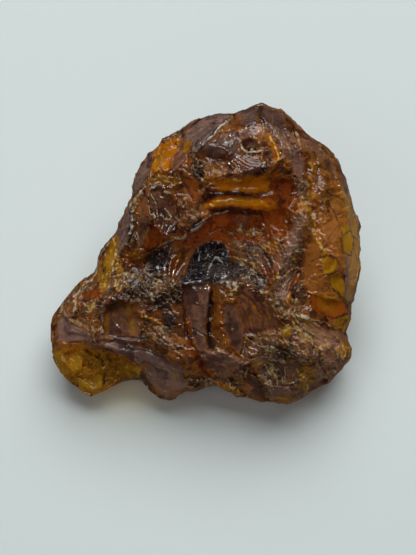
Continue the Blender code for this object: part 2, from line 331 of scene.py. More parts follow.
HOOD = Region("hood: the overhanging top with its hollow and its boss", (190, 100), (
    Facet("dark facet", (12,51, 20,45, 32,46, 40,50, 36,60, 22,61, 14,57), (0.1, -0.35), 0.25),
    Facet("boss", (36,58, 44,52, 54,54, 66,55, 72,61, 70,71, 58,76, 44,75, 36,68), (0.0, 0.1), -0.5),
    Facet("top left", (46,13, 60,7, 68,10, 66,21, 56,26, 48,22), (-0.05, -0.1), 0.1, HAZE, 0.7),
    Facet("top right", (72,6, 86,9, 96,19, 90,27, 76,21, 70,16), (-0.1, -0.2), 0.1, HAZE, 0.6),
    Facet("grey strip", (103,50, 110,46, 114,60, 114,78, 108,82, 102,68), (0.15, 0.1), 0.1, HAZE, 0.6),
    Patch("hood grey", (16,40, 46,28, 60,26, 72,34, 50,40, 46,52, 22,58, 10,52), HAZE, 0.55, 5.0),
    Patch("crest grey", (72,12, 94,22, 108,40, 112,60, 102,72, 92,50, 76,30), HAZE, 0.5, 5.0),
    Patch("hood dark", (12,51, 24,43, 46,44, 52,50, 42,62, 16,60), SHADE, 0.4),
    Patch("hollow", (51,40, 60,38, 68,41, 70,49, 60,52, 53,50), SHADE, 0.8, 2.0),
    Patch("boss dim", (38,58, 54,54, 70,58, 68,72, 50,74, 38,68), SHADE, 0.3),
    Patch("hollow gold", (56,41, 65,42, 64,48, 56,48), GOLD, 0.35, 3.0),
    Patch("boss sheen", (54,65, 66,63, 74,64, 70,72, 60,74, 54,72), HAZE, 0.55, 3.0),
    Patch("bluish flecks", (28,39, 36,39, 38,44, 29,44), HAZE, 0.9, 2.0),
    Patch("olive slope", (15,61, 32,62, 40,70, 36,80, 18,80, 12,70), GOLD, 0.28),
    Patch("tan collar", (0,60, 6,55, 15,60, 15,66, 6,68, 0,74), PALE, 0.42),
    Patch("dark hole", (3,70, 7,67, 14,68, 15,75, 10,79, 4,76), SHADE, 1.0, 2.0),
    Patch("orange scar", (42,27, 50,25, 53,30, 46,33), GOLD, 0.6, 2.0),
    Patch("orange top", (46,17, 53,16, 53,22, 47,22), GOLD, 0.6, 2.0),
    Patch("tan scale", (78,34, 84,40, 90,50, 90,62, 84,66, 84,54, 79,44), GOLD, 0.9, 2.0),
    Patch("pink side", (78,49, 85,50, 85,62, 78,60), HAZE, 0.5, 3.0),
    Patch("gold under the boss", (15,77, 40,79, 72,75, 88,70, 90,76, 72,81, 42,84, 18,84), GOLD, 0.75, 3.0),
    Patch("hood rubble", (0,50, 16,60, 40,72, 42,80, 16,82, 0,78), RUBBLE, 0.8),
    Patch("hood right rubble", (72,22, 106,26, 114,50, 102,76, 76,68), RUBBLE, 0.5),
    Patch("crown dim", (40,14, 72,2, 100,18, 110,40, 96,30, 72,24, 44,30), SHADE, 0.35, 5.0),
    Patch("crown rubble", (42,14, 72,4, 98,16, 106,30, 72,30, 44,32), RUBBLE, 0.35),
    Ledge("hood rim", (72,52, 66,53, 58,53, 53,51, 50,46), 6.0, -0.5),
    Ledge("boss lip", (14,80, 30,80, 50,80, 72,76, 86,71), 7.0, 0.6),
    Ripples("boss rays", (36,60, 52,54, 72,58, 72,70, 55,76, 38,72), (72, 28), 3.2, 0.05),
    Line("hollow lip", (50,45, 52,49, 56,52, 62,53, 68,52, 71,50), 1.0, 0.35, PALE),
    Line("hollow lip end", (71,50, 72,54, 72,60), 0.9, 0.3, PALE, 0.9, 0.2),
    Line("hollow left corner", (48,38, 50,41, 52,43), 0.9, 0.25, PALE, 0.9),
    Line("hollow glint", (60,33, 64,36, 68,39, 70,44), 1.1, 0.3, PALE, 0.85, 0.3),
    Line("crown glint", (56,27, 57,29), 1.0, 0.2, PALE),
    Line("side glint", (41,40, 43,42), 1.0, 0.2, PALE),
    Line("far glint", (97,34, 99,36), 1.0, 0.2, PALE, 0.9),
    Line("tan curve", (72,21, 73,27, 73,33, 71,39), 1.0, 0.3, PALE, 0.9, 0.1),
    Line("tan curve over", (72,24, 78,26, 84,29, 89,36, 94,43), 1.3, 0.3, PALE, 0.6, 0.3),
    Line("tan scale edge", (78,35, 83,42, 87,50, 89,58, 85,65), 1.4, 0.35, PALE, 0.75, 0.3),
    Line("right crust", (105,30, 108,36, 110,42, 111,50), 1.6, 0.3, PALE, 0.8, 0.4),
    Line("right inner crust", (96,43, 99,48, 102,55), 1.5, 0.3, PALE, 0.8, 0.3),
    Line("yellow ring", (99,61, 96,63, 95,66, 97,69, 100,70), 1.3, 0.25, GOLD),
    Line("olive thread", (20,64, 24,68, 27,71, 32,74), 1.0, 0.2, PALE, 0.6, 0.2),
    Line("olive fleck", (23,70, 25,72, 27,71), 1.5, 0.2, PALE, 0.9, 0.2),
    Line("hole rim", (7,67, 12,65, 16,69), 1.0, 0.25, PALE, 0.6, 0.3),
    Line("hood corner crust", (13,78, 11,80, 14,81), 1.3, 0.25, PALE, 0.9, 0.3),
    Line("boss lip glint", (43,79.5, 48,80.5, 51,80), 1.1, 0.2, PALE),
    Line("boss streak", (48,50, 44,56, 40,60), 1.0, 0.15, HAZE, 0.8),
    Line("boss crumbs", (56,70, 60,68, 64,69, 68,66, 74,63, 78,61), 1.7, 0.2, PALE, 0.8, 0.5),
    Line("boss crumbs low", (54,73, 60,74, 68,72, 76,71, 82,68), 1.3, 0.15, PALE, 0.6, 0.6),
    Line("crown seam", (68,4, 71,12, 73,21), 1.5, -0.25, SOOT, 0.4),
    Line("crown crust", (57,10, 62,7, 72,4, 82,7, 91,12, 99,21), 1.6, 0.15, PALE, 0.45, 0.55),
    Line("hood groove", (50,32, 48,40, 44,46, 36,50), 1.4, -0.3, SOOT, 0.5),
    Line("hood right groove", (93,28, 100,42, 106,50), 1.4, -0.3, SOOT, 0.4),
))

LEDGES = Region("glowing ledges under the hood and the red hollow below them", (170, 170), (
    Facet("upper ledge", (36,16, 46,11, 70,11, 92,10, 100,14, 96,22, 74,21, 52,20, 38,22), (0.0, 0.25),
        0.3),
    Facet("lower ledge", (34,36, 40,28, 62,26, 82,28, 98,33, 96,39, 70,37, 48,36), (0.0, 0.2), 0.3),
    Facet("hollow left", (30,58, 38,47, 52,42, 66,42, 62,52, 48,60, 36,66), (0.25, 0.1), 0.3),
    Facet("hollow right", (92,44, 110,40, 120,52, 114,66, 98,66, 90,56), (-0.2, 0.0), 0.3),
    Facet("dark red corner", (102,12, 122,10, 128,22, 122,40, 108,36, 102,26), (-0.15, 0.1), 0.2),
    Facet("mauve slope", (14,6, 26,10, 30,22, 26,32, 18,26, 14,16), (0.1, 0.1), 0.1, EMBER, 0.5),
    Patch("mauve slope light", (12,4, 28,10, 32,22, 26,34, 14,26), GLOW, 0.5),
    Patch("upper glow", (36,17, 44,12, 66,9, 92,7, 101,12, 98,22, 80,24, 62,21, 44,22), GOLD, 0.85, 2.5),
    Patch("upper glow core", (84,13, 92,10, 100,14, 98,21, 88,22), GOLD, 1.0, 2.0),
    Patch("upper glow light", (36,17, 44,12, 66,9, 92,7, 101,12, 98,22, 80,24, 62,21, 44,22), GLOW, 0.6,
        3.0),
    Patch("upper glow spot", (80,14, 92,11, 99,14, 96,21, 84,20), GLOW, 1.0, 3.0),
    Patch("lower glow light", (36,36, 44,30, 66,27, 88,29, 100,36, 80,36, 58,34), GLOW, 1.0, 3.0),
    Patch("lower glow", (34,38, 38,29, 56,26, 78,27, 94,32, 102,38, 88,40, 68,37, 48,37), GOLD, 1.0, 2.5),
    Patch("ledge side glow", (88,28, 102,26, 108,36, 102,43, 90,40), GOLD, 0.7, 3.0),
    Patch("between the ledges", (32,26, 44,20, 70,21, 86,24, 76,27, 52,26, 36,32), SHADE, 0.75, 2.0),
    Patch("cave", (34,18, 42,14, 48,17, 44,21, 36,22), SHADE, 0.9, 2.0),
    Patch("under the lower ledge", (38,39, 58,38, 80,39, 92,43, 80,46, 60,43, 42,44), SHADE, 0.95, 2.0),
    Patch("hollow light", (34,44, 82,38, 122,46, 122,62, 92,74, 34,68), GLOW, 0.28, 5.0),
    Patch("red hollow", (34,44, 58,39, 82,38, 106,38, 122,46, 122,62, 110,74, 92,77, 70,72, 46,74, 32,68),
        EMBER, 0.95),
    Patch("red corner", (100,10, 120,8, 132,20, 128,42, 110,42, 100,28), EMBER, 0.75),
    Patch("red corner dim", (100,14, 120,10, 130,22, 124,40, 108,38), SHADE, 0.3, 5.0),
    Patch("middle light", (56,68, 94,70, 94,94, 58,92), GLOW, 0.6, 5.0),
    Patch("hot left", (16,64, 30,60, 40,68, 26,78, 14,76), EMBER, 0.9, 3.0),
    Patch("pink crumbs", (26,34, 14,30, 10,44, 16,54, 26,52, 30,42), PALE, 0.3, 3.0),
    Patch("hollow rubble", (58,44, 92,44, 116,56, 114,76, 80,92, 58,80), RUBBLE, 0.9),
    Patch("orange floor", (92,73, 106,70, 114,78, 104,85, 92,82), GOLD, 0.4, 3.0),
    Patch("left rubble", (6,26, 30,30, 32,44, 20,58, 8,56), RUBBLE, 0.9),
    Ledge("upper step", (36,22, 52,20, 74,21, 92,23, 102,20), 6.0, 0.7),
    Ledge("lower step", (34,40, 48,37, 70,38, 92,41, 104,44), 7.0, 0.9),
    Ledge("hollow step", (16,62, 30,56, 44,45, 58,41), 5.0, 0.5),
    Line("upper ledge streak", (44,14, 62,12, 82,11), 1.0, 0.15, GOLD),
    Line("upper ledge streak low", (52,18, 70,17, 88,18), 0.9, -0.15, EMBER, 0.7),
    Line("lower ledge streak", (42,32, 62,30, 82,32), 1.2, 0.2, HONEY),
    Line("lower ledge thread", (38,37, 52,34.5, 72,34.5), 0.8, 0.15, PALE, 0.4, 0.2),
    Line("lower ledge streak dark", (38,34, 52,29, 70,27), 0.9, -0.2, EMBER, 0.8),
    Line("yellow vee", (33,20, 35,17, 40,14, 45,11), 1.0, 0.3, PALE, 0.75),
    Line("ledge ring", (92,12, 96,14, 97,18, 93,21, 89,19, 90,14), 0.9, -0.25, EMBER, 0.9),
    Line("glint high", (82,63, 85,66), 1.2, 0.3, PALE),
    Line("glint left", (68,59, 71,62), 1.3, 0.3, PALE),
    Line("glint row", (75,66, 79,64), 1.0, 0.25, PALE, 0.9),
    Line("glint far", (92,62, 94,66), 1.0, 0.25, PALE, 0.8),
    # The mauve flakes here are painted sheen.
    Line("mauve flakes", (73,38, 75,44, 74,50, 71,57), 1.7, 0.4, HAZE, 1.0, 0.3),
    Line("lilac glint", (68,60, 71,57, 73,54), 1.2, 0.35, PALE),
    Line("lilac glint high", (74,40, 76,43), 1.0, 0.25, PALE, 0.9),
    Line("glint fan a", (80,61, 84,58), 0.9, 0.25, PALE, 0.9),
    Line("glint fan b", (86,61, 88,64, 92,66), 0.9, 0.25, PALE, 0.9),
    Line("glint fan c", (92,70, 97,73, 100,71), 0.8, 0.25, PALE, 0.8),
    Line("mauve flakes left", (62,46, 68,52, 76,54, 74,60), 1.5, 0.3, HAZE, 0.9, 0.4),
    Line("slot upper", (17,62, 23,57, 29,52, 35,48), 1.3, -0.7, SOOT),
    Line("slot lower", (20,63, 26,59, 32,54), 1.0, -0.5, SOOT),
    Line("slot edge", (18,64, 25,60, 31,55, 37,49), 0.7, 0.2, PALE),
    Line("slot middle edge", (19,62, 26,56, 33,51), 0.6, 0.2, PALE, 0.8),
    Line("white rim", (33,50, 39,46, 46,44, 52,43, 58,41), 0.9, 0.3, PALE, 1.0, 0.15),
    Line("hollow crack", (36,66, 48,58, 60,56), 0.9, -0.4, SOOT, 0.5),
    Line("hollow crack right", (92,45, 96,56, 92,70), 0.9, -0.4, SOOT, 0.5),
    Line("ochre crumbs", (36,62, 42,66, 44,72), 1.5, 0.2, PALE, 0.55, 0.5),
    Line("slope white", (14,28, 16,30), 1.3, 0.25, PALE),
))

FIN = Region("fin: the glassy blade on the left", (110, 180), (
    Facet("smooth blade", (29,25, 32,16, 36,13, 39,23, 42,34, 41,44, 37,54, 34,63, 29,71, 27,56, 28,40),
        (0.1, 0.05), 0.25, HAZE, 0.35, 1.5),
    Facet("outer blade", (18,28, 22,33, 21,44, 17,58, 12,70, 7,76, 8,62, 12,46), (0.15, 0.1), 0.1, HAZE,
        0.85, 1.5),
    Facet("combed facet", (39,12, 48,9, 58,14, 66,23, 69,34, 66,48, 56,56, 50,48, 45,34), (-0.05, 0.15),
        0.2, HAZE, 0.35, 2),
    Facet("red facet", (42,47, 48,46, 53,56, 47,67, 38,70, 37,61), (0.1, 0.15), 0.1),
    Patch("blade orange", (31,17, 36,15, 39,26, 40,38, 34,42, 31,30), GOLD, 0.35, 3.0),
    Patch("blade dark", (29,42, 38,42, 35,56, 30,66, 28,56), SHADE, 0.35, 3.0),
    Patch("slate patch", (40,4, 46,4, 50,10, 43,12), SOOT, 0.6, 2.0),
    Patch("red", (40,44, 50,46, 54,58, 46,70, 32,74, 34,64), EMBER, 0.9, 3.0),
    Patch("red dim", (40,44, 50,46, 54,58, 46,70, 36,70), SHADE, 0.4, 3.0),
    Patch("crust field", (18,20, 28,14, 26,30, 25,46, 20,64, 12,70, 18,50), RUBBLE, 1.0, 3.0),
    Patch("crust dark", (21,48, 28,46, 28,64, 18,72, 16,64), SHADE, 0.6, 3.0),
    Patch("comb dark", (39,13, 48,12, 60,20, 68,34, 66,50, 50,50, 44,32), SHADE, 0.4, 3.0),
    Patch("foot gold", (10,72, 30,70, 40,72, 38,82, 24,88, 12,84), GOLD, 0.4),
    Ledge("blade edge", (36,13, 40,25, 42,35, 40,46, 35,60, 29,72), 5.0, -0.45),
    Ripples("comb", (38,12, 48,9, 68,26, 66,46, 50,52, 42,30), (-10, 36), 4.2, 0.1),
    Line("fin crest", (34,8, 29,13, 25,19, 21,24, 18,28), 1.6, 0.5, PALE, 0.85, 0.35),
    Line("fin crest white", (31,11, 27,16), 1.5, 0.35, PALE),
    Line("crust high", (27,16, 23,25, 23,33, 21,39), 1.7, 0.4, PALE, 0.75, 0.45),
    Line("crust middle", (23,36, 21,44, 22,49, 19,56), 1.9, 0.45, PALE, 0.9, 0.4),
    Line("crust low", (21,50, 18,58, 15,64, 11,72, 7,77), 1.8, 0.4, PALE, 0.85, 0.4),
    Line("crust side", (25,51, 23,57, 21,63), 1.1, 0.3, PALE, 0.7, 0.3),
    Line("crust gap", (19,30, 21,34, 24,39), 1.2, -0.3, SOOT),
    Line("crust gap low", (24,42, 20,48, 17,54), 1.1, -0.3, SOOT, 0.9),
    Line("olive edge", (17,23, 14,30, 12,38), 1.2, 0.1, GOLD, 0.6),
    Line("blade right crack", (37,14, 40,24, 42,34), 0.8, -0.4, SOOT, 0.9),
    Line("comb line one", (38.5,14, 41,22, 44,32), 0.7, 0.2, PALE, 0.65, 0.1),
    Line("comb line two", (41,13, 44,20, 47,30, 48,36), 0.7, 0.25, PALE, 0.9, 0.15),
    Line("comb line three", (44,14, 48,23, 53,32), 0.6, 0.15, HAZE, 0.9, 0.1),
    Line("comb line four", (49,15, 54,23, 59,32), 0.6, 0.15, HAZE, 0.7, 0.1),
    Line("comb knot", (43,34, 45,36, 44,38), 1.4, 0.35, PALE),
    Line("comb fleck", (53,11, 57,13, 60,14), 1.6, 0.35, PALE, 0.95, 0.1),
    Line("comb fleck low", (50,16, 53,18), 1.2, 0.3, PALE, 0.9),
    Line("curl", (51,31, 51,36, 54,39, 59,39, 61,37, 58,32, 54,28), 0.8, 0.3, PALE, 0.9, 0.05),
    Line("yellow thread", (44,32, 47,40, 50,47, 52,54), 1.0, 0.3, PALE, 0.55, 0.2),
    Line("comb foot", (56,56, 62,48, 67,40), 1.0, 0.2, HAZE, 0.8, 0.3),
    Line("foot seam", (12,70, 22,72, 29,75), 1.0, 0.25, PALE, 0.4, 0.5),
    Line("long seam", (24,80, 32,77, 40,72, 48,68, 55,63, 63,60, 71,58, 77,55), 1.2, 0.5, PALE, 0.75, 0.35),
    Line("seam knot", (70,60, 74,58, 76,54, 73,56), 2.0, 0.4, PALE, 0.7, 0.2),
))

PITS = Region("the two dark pits and the golden band between them", (110, 230), (
    Facet("left pit floor", (38,28, 45,21, 54,20, 58,28, 52,39, 44,38), (0.1, 0.1), 0.2),
    Facet("pit floor", (77,36, 84,25, 92,32, 94,44, 87,51, 78,49), (0.35, 0.1), 0.2),
    Facet("pit ceiling", (89,16, 100,14, 112,16, 106,26, 94,30), (0.1, 0.4), 0.2),
    Facet("band", (60,28, 70,23, 74,32, 69,46, 62,49, 58,40), (-0.3, -0.3), 0.3),
    Patch("left pit", (35,28, 47,19, 55,17, 59,26, 58,36, 51,43, 44,42, 39,34), SOOT, 0.9, 2.0),
    Patch("left pit tail", (52,16, 60,11, 65,12, 62,22, 57,28), SOOT, 0.6, 2.0),
    Patch("pit left", (72,53, 77,39, 83,25, 90,15, 95,20, 94,36, 98,47, 92,54), SOOT, 1.0, 2.0),
    Patch("pit roof", (89,17, 100,11, 112,12, 119,21, 119,36, 112,32, 106,21, 95,26), SOOT, 1.0, 2.0),
    Patch("pit middle", (93,26, 106,20, 117,30, 120,44, 110,52, 95,52), SOOT, 0.85, 3.0),
    Patch("pit brown", (98,32, 104,28, 110,32, 108,38, 100,40), HAZE, 0.5, 2.0),
    Patch("pit black", (83,40, 93,34, 96,46, 89,51, 79,49), SHADE, 1.0, 2.0),
    Patch("pit mouth", (94,17, 108,13, 112,17, 100,23), SHADE, 1.0, 2.0),
    Patch("pit dark", (76,50, 80,34, 92,20, 114,16, 118,38, 106,50), SHADE, 0.35, 3.0),
    Patch("pit right", (112,36, 126,33, 134,40, 128,52, 110,53), SOOT, 0.75, 3.0),
    Patch("pit right dark", (116,38, 130,36, 130,46, 118,50), SHADE, 0.5, 3.0),
    Patch("left pit chip", (50,25, 55,23, 57,30, 53,33), GOLD, 0.8, 1.5),
    Patch("band gold", (60,27, 71,22, 74,32, 70,46, 62,51, 58,40), GOLD, 0.75, 3.0),
    Patch("band dark", (58,24, 70,20, 76,32, 72,48, 62,53, 56,40), SHADE, 0.8),
    Patch("brown left of pits", (10,32, 36,28, 42,42, 36,62, 18,68, 8,54), SHADE, 0.4),
    Patch("tan flake", (27,32, 33,31, 33,38, 28,38), GOLD, 0.6, 2.0),
    Patch("pit rubble", (80,12, 116,10, 130,32, 128,54, 96,56, 90,32), RUBBLE, 0.8, 3.0),
    Patch("rubble below", (10,40, 40,40, 76,50, 74,72, 40,80, 12,66), RUBBLE, 0.9),
    Patch("rubble below dark", (10,36, 40,38, 74,52, 72,74, 40,82, 12,68), SHADE, 0.6, 5.0),
    Patch("tan crumbs", (56,50, 70,50, 72,66, 62,66, 54,58), PALE, 0.2),
    Ledge("left pit brim", (58,36, 58,24, 50,17, 40,22, 37,32, 44,41), 5.0, -0.7),
    Ledge("pit brim", (130,38, 119,28, 114,16, 102,12, 90,14, 82,26, 75,42, 74,54), 6.0, -0.8),
    Line("pit ring", (89,24, 91,21, 95,22, 98,25, 96,29, 92,29, 89,27, 89,24), 0.5, 0.4, PALE, 0.9, 0.05),
    Line("pit left rim", (90,13, 88,19, 88,26, 90,32, 93,37), 0.9, 0.4, PALE, 0.8, 0.3),
    Line("pit scrawl a", (95,28, 99,32, 102,38), 0.6, 0.15, PALE, 0.45, 0.3),
    Line("pit scrawl b", (112,17, 114,22, 111,27, 116,32), 0.6, 0.2, PALE, 0.49, 0.3),
    Line("pit scrawl c", (107,14, 112,12, 118,17, 120,24), 0.6, 0.2, PALE, 0.49, 0.35),
    Line("pit top rim", (90,13, 96,11, 102,12), 0.8, 0.3, PALE, 0.7, 0.4),
    Line("pit thread", (97,46, 98,41, 100,36, 103,31, 106,27), 0.7, 0.35, PALE, 0.8, 0.1),
    Line("pit bone", (105,27, 109,30, 113,34), 1.2, 0.5, PALE, 1.0, 0.05),
    Line("pit bone low", (102,25, 106,29), 0.8, 0.4, HAZE),
    Line("pit curl", (113,47, 112,43, 116,41, 119,42, 118,45), 0.5, 0.3, PALE, 0.85, 0.05),
    Line("pit slash", (96,23, 102,20, 109,17, 113,14), 1.3, -0.5, SOOT),
    Line("pit slash edge", (98,25, 104,22, 111,18), 0.6, 0.2, HAZE, 0.8),
    Line("pit threads right", (112,16, 116,22, 116,28), 0.8, 0.3, HAZE, 1.0, 0.3),
    Line("pit ash", (94,50, 100,47, 106,44, 112,40), 1.2, 0.2, HAZE, 0.9, 0.5),
    Line("pit foot crust", (74,53, 82,53, 90,52, 96,52), 1.3, 0.3, PALE, 0.85, 0.4),
    Line("left pit threads", (53,20, 56,15, 59,8), 0.6, 0.15, PALE, 0.7, 0.3),
    Line("left pit threads right", (58,26, 60,19, 64,13), 0.6, 0.15, PALE, 0.7, 0.3),
    Line("left pit threads low", (61,22, 64,16, 66,11), 0.6, 0.15, PALE, 0.5, 0.3),
    Line("left pit dots", (46,38, 49,39), 1.2, 0.3, PALE, 1.0, 0.2),
    Line("left pit dots low", (40,32, 43,36), 0.8, 0.25, HAZE, 1.0, 0.2),
    Line("band thread", (71,22, 68,30, 65,38, 64,45, 62,51), 1.1, 0.12, PALE, 0.49),
    Line("band thread left", (63,28, 61,36, 59,44), 0.9, 0.1, PALE, 0.4, 0.1),
    Line("hair one", (34,40, 35,48, 36,58), 0.7, 0.2, HAZE, 0.9, 0.2),
    Line("hair two", (39,46, 42,56, 41,66), 0.7, 0.2, HAZE, 0.8, 0.2),
    Line("star up", (33,54, 37,61, 41,68), 0.8, 0.25, PALE, 0.85, 0.1),
    Line("star", (41,63, 41,68, 43,71), 1.3, 0.35, PALE),
    Line("star left", (40,69, 36,66), 0.8, 0.25, HAZE),
    Line("pale wedge", (19,58, 24,56, 29,54), 1.6, 0.2, PALE, 0.6, 0.3),
    Line("orange beads", (104,48, 106,46, 108,49), 1.4, 0.25, GOLD, 1.0, 0.1),
))

